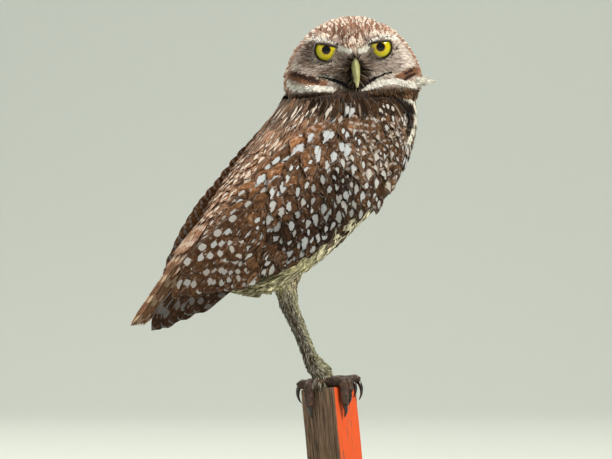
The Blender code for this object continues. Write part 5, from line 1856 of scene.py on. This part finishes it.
@dataclass
class Wing:
    """One folded wing: its closed base, coverts in rows, and the long flight feathers."""

    name: str
    side: int
    seed: int
    tuck: float = 0.0
    row: float = 5.8
    column: float = 6.6
    pad_span: tuple = (66.0, -48.0)
    pad_grid: tuple = (26, 15)
    pad_depth: float = 6.0

    @property
    def form(self) -> WingForm:
        """The form that the wing's feathers lie on."""
        return WingForm(self.side)

    def base(self) -> Piece:
        """A closed pad under the coverts, so that no gap shows between their roots."""
        forward = np.linspace(*self.pad_span, self.pad_grid[0])
        low, high = self.form.edges(forward)
        high = high - 0.5 * self.tuck * ease(forward, 20.0, -10.0)
        share = np.linspace(0, 1, self.pad_grid[1])
        up = (low + 1.5)[:, None] + (high - low - 5.0)[:, None] * share
        run = np.broadcast_to(forward[:, None], up.shape)
        crown = np.sin(math.pi * share) ** 0.4
        outer = self.form.place(run, up, (self.form.coat(run, up) - 2.6) * crown + (crown - 1) * 2.0)
        inner = self.form.place(run, up, np.full_like(up, -self.pad_depth))
        return tube_mesh(f"wing_pad_{self.name}", np.concatenate([outer, inner[:, ::-1]], axis=1))

    def turn(self, forward: Array, up: Array) -> Array:
        """How far coverts point down from straight back: most at the wrist, none along the back."""
        fall = np.interp(forward, [-60.0, -25.0, 10.0, 45.0], [0.2, 0.45, 0.72, 0.82])
        low, _ = self.form.edges(forward)
        return (
            fall * (1 - 1.15 * ease(up, 8.0, 27.0))
            * (1 - 0.35 * ease(up - low, 9.0, 1.0) * ease(forward, 40.0, 15.0))
        )

    def coverts(self) -> Piece:
        """Rows of coverts over shoulder and arm."""
        rng = np.random.default_rng(self.seed)
        rows = []
        forward = 69.0
        row = 0
        while forward > -44.0:
            low, high = (float(v) for v in self.form.edges(np.array(forward)))
            up = np.arange(low + 1.5 + 0.5 * self.column * (row % 2), high + 1.0, self.column)
            rows.append(columns(np.full(len(up), forward), up))
            forward -= self.row
            row += 1
        root = np.concatenate(rows)
        root = root[
            root[:, 1] < self.form.edges(root[:, 0])[1] + 1.5
            - 0.5 * self.tuck * ease(root[:, 0], 20.0, -10.0)
        ]
        count = len(root)
        root = root + rng.normal(0, 0.7, root.shape)
        forward, up = root.T
        small = ease(forward, 30.0, 64.0)
        upper = ease(up, 10.0, 24.0)
        length = (18.0 - 7.0 * small + 2.0 * ease(forward, -5.0, -40.0)) * rng.uniform(0.92, 1.08, count)
        half = (5.5 - 1.9 * small - 0.8 * upper) * rng.uniform(0.85, 1.15, count)
        turn = self.turn(forward, up) + rng.normal(0, 0.07, count)
        draw, other = rng.random(count), rng.random(count)
        patch = clumps(forward, up, 5.5)
        lit = (
            0.25 * ease(up, 0.0, 20.0) + 0.2 * ease(forward, 20.0, 60.0) + 0.15 * ease(forward, -20.0, -60.0)
        )
        tone = layered(DARK_BROWN * 0.6, (WARM_BROWN, np.clip(0.3 * draw + 0.35 * patch + lit, 0, 1)), (
            RUSSET * 1.15, (0.4 * ease(up, 4.0, 24.0) + 0.3 * ease(up, 14.0, 26.0)) * other
        ))
        row = hill(line_distance(forward, up, ((50, 18), (44, 16), (33, 22), (20, 26), (0, 27)))[0], 5.0)
        tint = blend(WHITE_MARK, BUFF_MARK, np.clip(0.25 * other + 0.6 * small * draw - row, 0, 1))
        # Painted shade: coverts across the middle of the wing get darker tone and marks, and the marks dim
        # towards the wing's rear.
        lower = ease(forward, -15.0, -35.0)
        middle = ease(forward, -42.0, -20.0) * ease(forward, 40.0, 22.0) * ease(up, 20.0, 6.0)
        tint = tint * (1 - middle * (0.28 + 0.3 * rng.random(count)) - 0.2 * lower)[:, None]
        tone = tone * (1 - 0.42 * middle)[:, None]
        size = (
            rng.uniform(1.7, 4.2, count) * (1 - 0.45 * small) * (1 - 0.1 * middle) * (1 + 0.7 * row)
            * (rng.random(count) > 0.08)
        )
        across = rng.choice([-0.34, 0.34], count) * rng.uniform(0.5, 1.1, count)
        spot = columns(across, rng.uniform(0.70, 0.80, count), size)
        barred = 0.6 * ease(forward, 22.0, 45.0) * (other > 0.4)
        tint = tint * (1 - 0.22 * small)[:, None]
        bands = columns(3.0, barred, 0.8 * small * (draw > 0.4))
        high = self.form.coat(forward - length, up - length * np.sin(turn)) + rng.normal(0.1, 0.12, count)
        vanes = Vanes(
            lay=self.form.lay(forward, up, turn), length=length, half=half,
            low=self.form.coat(forward, up) - 1.6, high=high, tone=tone, tint=tint, spot=spot, bands=bands,
            place=self.unwrap(forward, up), sag=0.1, slim=0.58 - 0.16 * upper,
            painter=lambda points, vane: mottled(points, tone[vane]),
        )
        return make_vanes(f"wing_coverts_{self.name}", Lie.BODY, vanes, rng)

    @staticmethod
    def unwrap(forward: Array, up: Array) -> Array:
        """Places on the unwrap of the wing's form: forward and up, scaled to the square."""
        return columns((forward + 130.0) / 215.0, (up + 45.0) / 90.0)

    def tier(self, tier: Tier) -> Piece:
        """One tier, lowest feather first, spread evenly between its two roots and two tips."""
        count = tier.count
        rng = np.random.default_rng(self.seed + len(tier.name) + count)
        s = np.linspace(0, 1, count)[:, None]
        first, last = np.array(tier.roots)
        root = first * (1 - s) + last * s + rng.normal(0, 0.4, (count, 2))
        first, last = np.array(tier.tips)
        tip = first * (1 - s) + last * s + rng.normal(0, 0.5, (count, 2))
        tip = tip + self.tuck * np.array([1.0, -0.35]) * (s + 0.2)
        root = root - self.tuck * np.array([0.0, 0.35]) * s
        line = tip - root
        length = np.linalg.norm(line, axis=1)
        ahead = line / length[:, None]
        form = self.form

        def laid(along: Array, across: Array, height: Array) -> Array:
            """World points of places on the vanes."""
            t = along / length[:, None]
            across = across + tier.bow * 4 * t * (1 - t)
            forward = root[:, :1] + ahead[:, :1] * along + ahead[:, 1:] * across
            return form.place(forward, root[:, 1:] + ahead[:, 1:] * along + ahead[:, :1] * across, height)

        draw = rng.random(count)
        cells = columns(s[:, 0] * 0.9 + 0.05, 0.1 + 0.8 * rng.random())
        spot_size = 0.0 if tier.bars[1] > 0 else 2.6
        vanes = Vanes(
            lay=laid, length=length, half=tier.half * rng.uniform(0.95, 1.05, count),
            low=tier.heights[0] + 0.05 * np.arange(count), high=tier.heights[1] + rng.normal(0, 0.12, count),
            tone=tier.tone * (0.85 + 0.3 * draw[:, None]),
            tint=blend(WHITE_MARK, BUFF_MARK, 0.3 * rng.random(count)) * tier.marked,
            spot=(0.4, 0.84, spot_size), bands=tier.bars, place=cells, tilt=-0.10,
        )
        return make_vanes(f"{tier.name}_{self.name}", tier.kind, vanes, rng)

    def dress(self, plumage: Material, flight: Material, tips: Material, under: Material) -> None:
        """Builds the wing in place of the plain one."""
        pieces = [(self.base(), under), (self.coverts(), plumage)]
        for tier in TIERS + (FAR_TIERS if self.tuck else ()):
            pieces.append((self.tier(tier), tips if tier.name == "primaries" else flight))
        for piece, finish in pieces:
            fit(piece, finish, "brown_plumage", f"wing_{self.name}")


@dataclass
class Tail:
    """The closed tail: twelve long feathers stacked under the middle pair, with coverts above and below."""

    seed: int = 41
    tip: tuple = (-128.5, 15.5)
    root: tuple = (-62.0, 26.5)
    half_spread: float = 5.0
    feather_half: float = 5.0
    step: float = 0.8

    def fan(
        self, name: str, left_root: Array, left_tip: Array, root: tuple, tip_forward: Array, tip_up: float,
        height: Array | float, half: float, bars: tuple, tone: Array, tint: Array, kind: Lie = Lie.BODY
    ) -> Piece:
        """One set of tail feathers, domed across the tail.

        Args:
            name: The piece's name.
            left_root: Places of the roots to the left.
            left_tip: Places of the tips to the left.
            root: Place of all roots forward and up.
            tip_forward: Places of the tips forward.
            tip_up: Place of all tips up.
            height: Heights over that line.
            half: Half width.
            bars: Number of bars, their strength, and the shaft streak's.
            tone: Ground colour.
            tint: Colour of the marks.
            kind: Outline.

        Returns:
            The set's mesh.
        """
        rng = np.random.default_rng(self.seed + len(name))
        count = len(left_root)
        length = root[0] - tip_forward
        height = np.broadcast_to(height, count)[:, None]

        def laid(along: Array, across: Array, rise: Array) -> Array:
            """World points of places on the vanes."""
            t = along / length[:, None]
            left = left_root[:, None] + (left_tip - left_root)[:, None] * t + across
            up = root[1] + (tip_up - root[1]) * t + height + rise - 0.006 * left**2
            return body_point(root[0] - along, left, up)

        vanes = Vanes(
            lay=laid, length=length, half=half * rng.uniform(0.96, 1.04, count), low=0.0,
            high=rng.normal(0, 0.08, count), tone=tone * rng.uniform(0.85, 1.15, (count, 1)), tint=tint,
            bands=bars, place=columns(0.05 + 0.9 * np.arange(count) / count, 0.5)
        )
        return make_vanes(name, kind, vanes, rng)

    def dress(self, plumage: Material, flight: Material) -> None:
        """Builds the tail in place of the plain one."""
        index = np.arange(12)
        pair = index // 2
        outward = np.where(index % 2 == 1, 1.0, -1.0) * (pair + 0.5) / 5.5
        quills = self.fan(
            "rectrices", 9.0 * outward - 2.0, self.half_spread * outward - 1.5, self.root,
            self.tip[0] + 0.9 * pair, self.tip[1], 1.2 - self.step * (pair + 0.5 * (index % 2)),
            self.feather_half, (4.5, 0.9, 0.0), RUSSET * 0.6, BUFF_MARK, Lie.FLIGHT
        )
        fit(quills, flight, "brown_plumage", "tail")
        for row, (start, reach, lift) in enumerate((
            (-54.0, -80.0, 3.2), (-60.0, -90.0, 2.2), (-66.0, -98.0, 1.4)
        )):
            left = np.linspace(-9.0, 9.0, 7) + 1.5 * (row % 2)
            above = self.fan(
                f"tail_coverts_{row}", left, left, (start, 27.0 - row), reach + 0.25 * np.abs(left),
                25.2 - 1.7 * row, lift - 2.6, 3.2, (2.0, 0.6, 0.7), RUSSET * 0.8, CROWN_PALE
            )
            fit(above, plumage, "brown_plumage", "tail")
        for row, (start, reach) in enumerate(((-52.0, -82.0), (-60.0, -97.0))):
            left = np.linspace(-11.0, 11.0, 6) + 1.5 * row
            below = self.fan(
                f"vent_coverts_{row}", left * 0.8, left, (start, 7.0 + 1.5 * row),
                reach + 0.25 * np.abs(left), 9.5 - 0.8 * row, 0.0, 5.0, (2.0, 0.25, 0.0), BELLY, WARM_BROWN
            )
            fit(below, plumage, "brown_plumage", "tail")


@dataclass
class Eye:
    """One eye: a glossy ball with a yellow iris, and the lids' dark rim round it."""

    side: int
    name: str
    ball_radius: float = 8.5
    pupil: float = 2.6
    iris: float = 6.3
    lid_radii: tuple = (9.4, 8.9)
    lid_reach: float = 9.0
    bead: float = 0.36
    bead_growth: float = 0.06
    ball_grid: tuple = (40, 48)
    rim_grid: tuple = (72, 10)
    lid_grid: tuple = (8, 64)

    @property
    def centre(self) -> Array:
        """The ball's centre in the head's frame."""
        return np.array([self.side * HEAD.eye_spread, -HEAD.eye_depth, HEAD.eye_height])

    def material(self) -> Material:
        """Iris and pupil by distance from the gaze's axis on object coordinates, under a clear coat."""
        made, s, shader = fresh_material(f"iris_{self.name}")
        away = s.vector("SUBTRACT", s.object_place(), tuple(HEAD.to_world(self.centre) * MM))
        cross = s.vector("CROSS_PRODUCT", away, tuple(HEAD.turned @ np.array([0.0, -1.0, 0.0])))
        radius = s.times(s.vector("LENGTH", cross, result="Value"), 1.0 / MM)
        fibres = s.noise(s.vector("NORMALIZE", cross), 9.0, 3.0)
        colour = s.mix(fibres, rgba(228, 214, 18), rgba(196, 178, 10))
        for low, high, tone in (
            (self.pupil + 1.0, self.pupil, rgba(206, 160, 10)), (5.0, self.iris, rgba(120, 110, 12)),
            (self.iris - 0.2, self.iris + 0.15, rgba(16, 14, 10)),
        ):
            share = s.ramp(radius, low, high)
            colour = s.mix(share, colour, tone)
        black = s.ramp(radius, self.pupil + 0.15, self.pupil - 0.1)
        s.put(shader, {
            "Base Color": s.mix(black, colour, (0.002, 0.002, 0.002, 1.0)), "Roughness": 0.12,
            "Coat Weight": 0.35, "Coat Roughness": 0.03, "Specular IOR Level": 0.3
        })
        return made

    def opening(self, angle: Array) -> tuple[Array, Array, Array]:
        """Points of the opening's circle, across and up, and the height of the upper lid's line there."""
        x, z = HEAD.opening * np.cos(angle), HEAD.opening * np.sin(angle)
        return x, z, HEAD.lid_line - HEAD.lid_slope[(self.side + 1) // 2] * x

    def shell(self, name: str, rings: Array) -> Piece:
        """A surface closed both ways through rings in the ball's frame."""
        points = HEAD.to_world(rings.reshape(-1, 3) + self.centre)
        return loop_mesh(f"{name}_{self.name}", points, *rings.shape[:2])

    def ball(self) -> Piece:
        """A sphere whose pole looks forwards."""
        way = sphere_grid(0.01, *self.ball_grid)
        return tube_mesh(f"eyeball_{self.name}", HEAD.to_world(way * self.ball_radius + self.centre))

    def rim(self) -> Piece:
        """The lids' edge: a bead carried round the opening on the ball, thicker along the upper lid."""
        x, z, line = self.opening(circle(self.rim_grid[0]))
        soft = 0.5
        z = -np.logaddexp(-z / soft, -line / soft) * soft
        upper = ease(z - (line - 0.8), -1.5, 0.5)
        y = -np.sqrt(np.maximum((self.ball_radius + 0.15) ** 2 - x**2 - z**2, 1.0))
        path = columns(-self.side * x, y, z)
        spin = circle(self.rim_grid[1])[None, :, None]
        normal = unit(path)
        other = np.cross(unit(np.roll(path, -1, axis=0) - np.roll(path, 1, axis=0)), normal)
        thick = (self.bead + self.bead_growth * upper)[:, None, None]
        bead = np.cos(spin) * normal[:, None] + np.sin(spin) * other[:, None] * 1.2
        return self.shell("lid_rim", path[:, None] + thick * bead)

    def lids(self) -> Piece:
        """Both lids as a closed shell over the ball, from the opening's edge out under the face feathers."""
        steps, around = self.lid_grid
        angle = circle(around)
        x, z, line = self.opening(angle)
        share = np.linspace(0, 1, steps)[:, None]
        across = x * (1 - share) + self.lid_reach * np.cos(angle) * share
        rise = np.minimum(z, line) * (1 - share) + self.lid_reach * np.sin(angle) * share
        shells = []
        for radius in self.lid_radii:
            radius = radius - 1.0 * ease(share, 0.05, 0.6)
            depth = -np.sqrt(np.maximum(radius**2 - (across**2 + rise**2), 0.2))
            shells.append(columns(-self.side * across, depth, rise))
        made = self.shell("lids", np.concatenate([shells[0], shells[1][::-1]]))
        there = np.repeat(np.concatenate([share, share[::-1]])[:, 0], around)
        tone = blend(BRISTLE_DARK * 0.6, paint(150, 134, 120), ease(there, 0.05, 0.3))
        set_point_values(made, "tone", tone, colour=True)
        return made

    def dress(self, rim: Material, lid: Material) -> None:
        """Builds ball, lids and rim."""
        fit(self.ball(), self.material(), "eye_yellow", f"eye_{self.name}")
        fit(self.rim(), rim, "face_plumage")
        fit(self.lids(), lid, "face_plumage")


@dataclass
class Bill:
    """The hooked bill in two halves, with nostrils and the line of the mouth between them."""

    shift: float = 0.5
    grid: tuple = (46, 36)
    nostril: tuple = (3.1, -30.2, 8.8)
    upper: tuple = (
        (-20.0, 8.6, 2.9, 5.4), (-27.0, 8.2, 2.7, 5.2), (-31.0, 6.6, 2.45, 4.5), (-34.2, 3.6, 2.2, 3.3),
        (-35.9, -0.2, 1.7, 2.1), (-36.0, -3.4, 1.0, 1.1), (-35.4, -5.0, 0.4, 0.45),
    )
    upper_tilt: tuple = (0.0, 8.0, 28.0, 55.0, 78.0, 92.0, 104.0)
    lower: tuple = ((-20.0, 0.9, 2.5, 1.7), (-27.5, 0.2, 2.3, 1.6), (-31.0, -0.9, 1.8, 1.4), (
        -33.2, -2.0, 0.8, 0.9
    ))
    lower_tilt: tuple = (0.0, 5.0, 15.0, 25.0)

    def half(self, name: str, table: tuple, tilt: tuple, dent: bool) -> Piece:
        """One half of the bill: leaning oval sections read along a cubic, with nostril dents if asked."""
        at = np.linspace(0, len(table) - 1, self.grid[0])
        rows = curve_rows(table, at)
        lean = np.radians(curve_rows(np.array(tilt)[:, None], at))
        side, rise = np.cos(circle(self.grid[1])), np.sin(circle(self.grid[1]))
        x = rows[:, 2:3] * side * (1 - 0.25 * np.clip(rise, 0, 1))
        lift = rows[:, 3:4] * rise
        points = columns(
            x + self.shift, rows[:, :1] - lift * np.sin(lean), rows[:, 1:2] + lift * np.cos(lean)
        )
        for edge in (-1, 1) if dent else ():
            nostril = np.array(self.nostril) * (edge, 1, 1) + (self.shift, 0, 0)
            away = np.linalg.norm(points - nostril, axis=-1)
            points[..., 0] -= edge * 0.8 * hill(away, 0.95)
        return tube_mesh(name, HEAD.to_world(points))

    def material(self) -> Material:
        """Pale green horn, darker at the root and lighter at the tip."""
        made, s, shader = fresh_material("bill_horn_green")
        away = s.vector("SUBTRACT", s.object_place(), tuple(HEAD.centre * MM))
        height = s.apart(away)[2]
        cloud = s.noise(s.object_place(), 260.0, 3.0)
        colour = s.mix(cloud, rgba(188, 184, 124), rgba(158, 156, 96))
        colour = s.mix(s.ramp(height, 0.009, 0.0145), colour, rgba(92, 88, 62))
        colour = s.mix(s.ramp(height, 0.0015, -0.004), colour, rgba(206, 200, 142))
        roughness = s.ramp(cloud, 0.3, 0.7, 0.28, 0.42)
        s.put(shader, {"Base Color": colour, "Roughness": roughness, "Coat Weight": 0.3})
        return made

    def dress(self) -> None:
        """Builds both halves in place of the plain ones."""
        horn = self.material()
        fit(self.half("bill_upper_horn", self.upper, self.upper_tilt, True), horn, "bill_horn", "bill_upper")
        fit(self.half("bill_lower_horn", self.lower, self.lower_tilt, False), horn, "bill_horn", "bill_lower")


@dataclass
class Stake:
    """The cut length of stake: sawn and weathered, with one side painted orange."""

    half: float = STAKE_HALF
    length: float = 80.0
    seed: int = 8
    per_side: int = 26
    rows: int = 60
    corner_power: int = 26

    def body(self) -> Piece:
        """A box of many rows with worn edges and shallow grooves along its grain, cut level below."""
        rng = np.random.default_rng(self.seed)
        share = np.linspace(-1, 1, self.per_side, endpoint=False) + 1.0 / self.per_side
        around = np.concatenate([
            columns(share, -1.0), columns(1.0, share), columns(-share, 1.0), columns(-1.0, -share)
        ])
        power = self.corner_power
        rounded = around / (np.abs(around) ** power).sum(axis=-1, keepdims=True) ** (1 / power)
        count = len(around)
        depth = np.concatenate([[0.0, 0.25, 0.8], np.linspace(1.8, self.length + 8.0, self.rows)])[:, None]
        edge = np.concatenate([[0.6, 0.25, 0.05], np.zeros(self.rows)])[:, None]
        groove = np.clip(rng.normal(0, 1.0, count), -1.5, 0.4) * 0.16
        waver = 0.05 * np.sin(depth * 0.21 + rng.uniform(0, 6.3, count))
        flat = rounded * (self.half - 0.02 - edge + np.minimum(groove + waver, 0.02))[..., None]
        sides = stake_place(columns(flat[..., 0], flat[..., 1], -depth))
        sides[..., 2] = np.maximum(sides[..., 2], STAKE_TOP - self.length)
        sawn = []
        for share in (0.25, 0.5, 0.75, 0.92):
            ring = rounded * (self.half - 0.6) * share
            sawn.append(
                stake_place(columns(ring[:, 0], ring[:, 1], -0.02 + 0.25 * (rng.random(count) - 0.8)))
            )
        return tube_mesh("stake_wood", np.concatenate([np.array(sawn), sides]))

    def material(self) -> Material:
        """Weathered grain on the stake's own axes, with orange paint where a side faces local +x."""
        made, s, shader = fresh_material("stake_wood_and_paint")
        x, y, z = s.own_place((0.0, 0.0, STAKE_TOP), STAKE_AXES)
        own = s.join(x, y, z)
        grain = s.noise(own, 1.0, 5.0, (1.1, 1.1, 0.045))
        fibre = s.noise(own, 1.0, 3.0, (4.5, 4.5, 0.09))
        stain = s.noise(own, 0.12, 2.0)
        wood = s.mix(s.ramp(grain, 0.35, 0.65), rgba(156, 123, 95), rgba(72, 50, 36))
        for source, low, high, share, colour in (
            (fibre, 0.5, 0.62, 0.6, rgba(168, 142, 118)), (fibre, 0.46, 0.36, 0.7, rgba(52, 36, 27)),
            (stain, 0.45, 0.7, 0.4, rgba(98, 66, 46)), (z, -0.6, 0.1, 0.7, rgba(94, 70, 54)),
        ):
            wood = s.mix(s.times(s.ramp(source, low, high), share), wood, colour)
        ragged = s.plus(x, s.times(s.less(grain, 0.5), 1.6))
        painted = s.ramp(ragged, STAKE_HALF - 0.9, STAKE_HALF - 0.35)
        worn = s.times(s.ramp(s.noise(own, 1.0, 4.0, (1.0, 0.8, 0.06)), 0.60, 0.68), 0.85)
        shown = s.times(painted, s.less(1.0, worn))
        orange = s.mix(fibre, rgba(247, 98, 28), rgba(228, 76, 20))
        height = s.plus(grain, s.times(fibre, 0.5))
        s.put(shader, {
            "Base Color": s.mix(shown, wood, orange), "Roughness": s.line(shown, -0.25, 0.85),
            "Normal": s.bump(height, 0.7, 0.0005),
        })
        return made

    def dress(self) -> None:
        """Builds the stake in place of the plain one."""
        fit(self.body(), self.material(), "weathered_wood", "perch_stake")


@dataclass
class Stand:
    """The display stand: a round steel base and a short rod."""

    base_radius: float = 68.0
    base_thickness: float = 12.0
    rod_radius: float = 4.0
    around: int = 128
    sharp: float = math.radians(40)

    def turned(self, name: str, radii: Array, heights: Array, middle: Array, around: int) -> Piece:
        """A profile of radii and heights turned about an upright axis through a middle."""
        cos, sin = np.cos(circle(around)), np.sin(circle(around))
        radii, heights = np.array(radii)[:, None], np.array(heights)[:, None]
        made = tube_mesh(name, columns(middle[0] + radii * cos, middle[1] + radii * sin, heights))
        made.data.set_sharp_from_angle(angle=self.sharp)
        return made

    def dress(self, base_finish: Material, rod_finish: Material) -> None:
        """Turns the base and the rod in place of the plain ones."""
        wide, tall = self.base_radius, self.base_thickness
        radii = (0.5, wide - 1.0, wide - 0.3, wide, wide, wide - 0.4, wide - 1.2, wide - 2.4, wide * 0.6, 0.5)
        heights = (0.0, 0.0, 0.3, 1.0, tall - 2.4, tall - 1.2, tall - 0.35, tall, tall, tall)
        base = self.turned("stand_disc", radii, heights, (0.0, 0.0), self.around)
        low, high = (np.array(corner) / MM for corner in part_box("stand_rod"))
        thin = self.rod_radius - 0.3
        radii, heights = (thin, thin + 0.3, thin + 0.3, thin), (low[2], low[2] + 0.4, high[2] - 0.4, high[2])
        rod = self.turned("stand_pin", radii, heights, (low + high) / 2, self.around // 2)
        fit(base, base_finish, "base_black", "stand_base")
        fit(rod, rod_finish, "rod_steel", "stand_rod")


RIGHT_LEG = Leg(
    name="right", foot=(-1.0, -7.2), seed=21,
    shank=((-11.3, -8.6, 19.6), (-15.8, -9.8, 31.2), (-20.0, -11.0, 41.4), (-23.4, -12.0, 50.0)),
    thigh=((-24.2, -12.8, 56.0), (-24.6, -13.4, 64.0), (-22.0, -14.0, 78.0)),
    toes={"outer": ("-y", -4.2, 10.5, 8.5, 0.35), "middle": ("+x", -6.6, 11.5, 8.0, 0.3),
          "inner": ("+x", -0.6, 4.0, 8.0, 0.5), "hind": ("-x", -8.2, 0.8, 12.0, 1.0)},
)
LEFT_LEG = Leg(
    name="left", foot=(-7.6, 6.4), seed=22,
    shank=((-11.2, 6.4, 19.6), (-15.9, 7.0, 31.2), (-20.2, 7.8, 41.4), (-23.6, 8.4, 50.0)),
    thigh=((-24.8, 8.2, 56.0), (-26.0, 8.0, 64.0), (-25.0, 8.0, 78.0)),
    toes={"middle": ("+x", 10.6, 0.8, 13.5, 1.0), "inner": ("+x", 4.6, 0.8, 11.0, 0.9),
          "outer": ("+y", -2.0, 6.0, 9.0, 0.4), "hind": ("-x", 4.0, 1.0, 11.0, 0.9)},
)


@dataclass
class Studio:
    """Pale floor and backdrop, soft lights, and the camera at the photograph's angle."""

    distance: float = 3000.0
    lens: float = 294.0
    aim: tuple = (-13.2, 0.0, STAKE_TOP + 94.5)
    sensor: float = 36.0
    bend_radius: float = 1500.0
    bend_start: float = 2600.0
    half_width: float = 6000.0
    front_edge: float = -5000.0
    wall_top: float = 4500.0
    floor_level: float = -0.02

    def stage(self) -> None:
        """A floor that curves up into a backdrop."""
        turn = np.linspace(0, math.pi / 2, 16)
        radius, start = self.bend_radius, self.bend_start
        bend = columns(start + radius * np.sin(turn), radius * (1 - np.cos(turn)))
        profile = np.vstack([(self.front_edge, 0.0), bend, (start + radius, self.wall_top)])
        points = np.concatenate([
            columns(x, profile[:, 0], profile[:, 1] + self.floor_level) for x in (
                -self.half_width, self.half_width
            )
        ])
        k = np.arange(len(profile) - 1)
        quads = columns(k, k + len(profile), k + len(profile) + 1, k + 1)
        floor = fill_mesh("studio_floor", points, quads)
        made, s, shader = fresh_material("studio_paper")
        cloud = s.noise(s.object_place(), 1.2, 1.0)
        paper = s.mix(cloud, (0.50, 0.52, 0.47, 1.0), (0.53, 0.55, 0.50, 1.0))
        s.put(shader, {"Base Color": paper, "Roughness": 0.9})
        floor.data.materials.append(made)

    def light(
        self, name: str, place: tuple, size: float, power: float, colour: tuple, look: tuple | None = None
    ) -> None:
        """A square soft light that looks at the owl, or at another place in metres."""
        lamp = bpy.data.lights.new(name, "AREA")
        lamp.size = size
        lamp.energy = power
        lamp.color = colour
        holder = bpy.data.objects.new(name, lamp)
        holder.location = Vector(place)
        aim = Vector(look or np.array(self.aim) * MM) - Vector(place)
        holder.rotation_euler = aim.to_track_quat("-Z", "Y").to_euler()
        bpy.context.scene.collection.objects.link(holder)

    def make(self) -> None:
        """Stage, lights and camera."""
        self.stage()
        self.light("key_light", (2.1, -1.7, 2.3), 0.7, 95.0, (1.0, 0.97, 0.92))
        self.light("fill_light", (-2.2, -2.2, 1.0), 1.6, 10.0, (0.93, 0.96, 1.0))
        self.light("back_light", (-1.2, 1.5, 2.2), 0.8, 40.0, (1.0, 0.95, 0.88))
        self.light("wall_light", (0.0, 0.2, 2.6), 2.5, 30.0, (1.0, 1.0, 1.0))
        self.light("backdrop_light", (0.0, 1.6, 2.8), 2.0, 42.0, (0.98, 1.0, 0.96), (0.0, 4.2, 0.2))
        world = bpy.context.scene.world or bpy.data.worlds.new("studio")
        bpy.context.scene.world = world
        world.use_nodes = True
        sky = world.node_tree.nodes["Background"]
        sky.inputs["Color"].default_value = (0.82, 0.9, 0.86, 1.0)
        sky.inputs["Strength"].default_value = 0.30
        camera = bpy.data.objects.new("camera", bpy.data.cameras.new("camera"))
        camera.data.lens = self.lens
        camera.data.sensor_width = self.sensor
        camera.data.clip_end = 50.0
        aim = Vector(self.aim) * MM
        camera.location = aim + Vector((0.0, -self.distance * MM, 0.0))
        camera.rotation_euler = (math.pi / 2, 0.0, 0.0)
        bpy.context.scene.collection.objects.link(camera)
        bpy.context.scene.camera = camera
        bpy.context.scene.view_settings.view_transform = "Standard"


def main() -> None:
    """Builds the owl, its stake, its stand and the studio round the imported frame."""
    logging.basicConfig(level=logging.INFO, format="%(message)s")
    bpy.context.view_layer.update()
    Studio().make()
    plumage_marks, mottle = plumage_group(), surface_group()
    soft = PlumageFinish("small_feathers", 0.18, 1.3, 0.3).make(plumage_marks)
    face = face_material(distance_group())
    tuft = PlumageFinish("leg_tufts", 0.0, 0.5, 0.2).make(plumage_marks)
    flight = PlumageFinish("flight_feathers", 0.12, 0.9, 0.3).make(plumage_marks)
    pale_rimmed = PlumageFinish("pale_rimmed_feathers", 0.65, 0.9, 0.3).make(plumage_marks)
    scaly = MottledFinish(
        "toe_scales", (96, 66, 46), (34, 23, 17), 420.0, 1500.0, (0.45, 0.75), 0.9
    ).make(mottle)
    horn = MottledFinish(
        "black_claw", (22, 18, 16), (48, 38, 32), 500.0, 2500.0, (0.16, 0.36), 0.1, coat=0.4
    ).make(mottle)
    lid = MottledFinish("lid_skin", (40, 32, 26), (22, 18, 15), 700.0, 2600.0, (0.45, 0.7), 0.4).make(mottle)
    under = MottledFinish("wing_pad", (70, 46, 34), (44, 30, 24), 300.0, 1500.0, (0.7, 0.9), 0.4).make(mottle)
    enamel = MottledFinish(
        "base_enamel", (26, 26, 27), (32, 32, 34), 60.0, 900.0, (0.32, 0.46), 0.05, coat=0.15
    ).make(mottle)
    steel = MottledFinish(
        "rod_brushed", (170, 170, 168), (150, 150, 150), 300.0, 3000.0, (0.25, 0.4), 0.05, metallic=1.0
    ).make(mottle)
    legs = [RIGHT_LEG, LEFT_LEG]
    down = skin_material(mottle)
    flesh = ("head", "neck", "torso", "thigh_right", "thigh_left", "shank_right", "shank_left")
    fit(Skin().make(legs), down, "brown_plumage", *flesh)
    coat = Coat(plumage_marks)
    for piece, finish in [(p, soft) for p in coat.trunk()] + list(zip(coat.head(), (soft, face))):
        fit(piece, finish, "face_plumage" if finish is face else "brown_plumage")
    for piece in (coat.vent(), coat.ear_tuft(), coat.bristles()):
        fit(piece, tuft, "pale_down")
    for leg in legs:
        fit(leg.coat(), tuft, "pale_down")
        leg.dress(scaly, horn)
    for wing in (Wing("right", -1, 31), Wing("left", 1, 36, 14.0)):
        wing.dress(soft, flight, pale_rimmed, under)
    Tail().dress(soft, pale_rimmed)
    for eye in (Eye(-1, "right"), Eye(1, "left")):
        eye.dress(lid, down)
    Bill().dress()
    Stake().dress()
    Stand().dress(enamel, steel)
    shown = [o for o in bpy.data.objects if o.type == "MESH" and not o.hide_render]
    for piece in shown:
        log.info("%s: %d faces", piece.name, len(piece.data.polygons))
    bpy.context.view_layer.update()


if __name__ == "__main__":
    main()
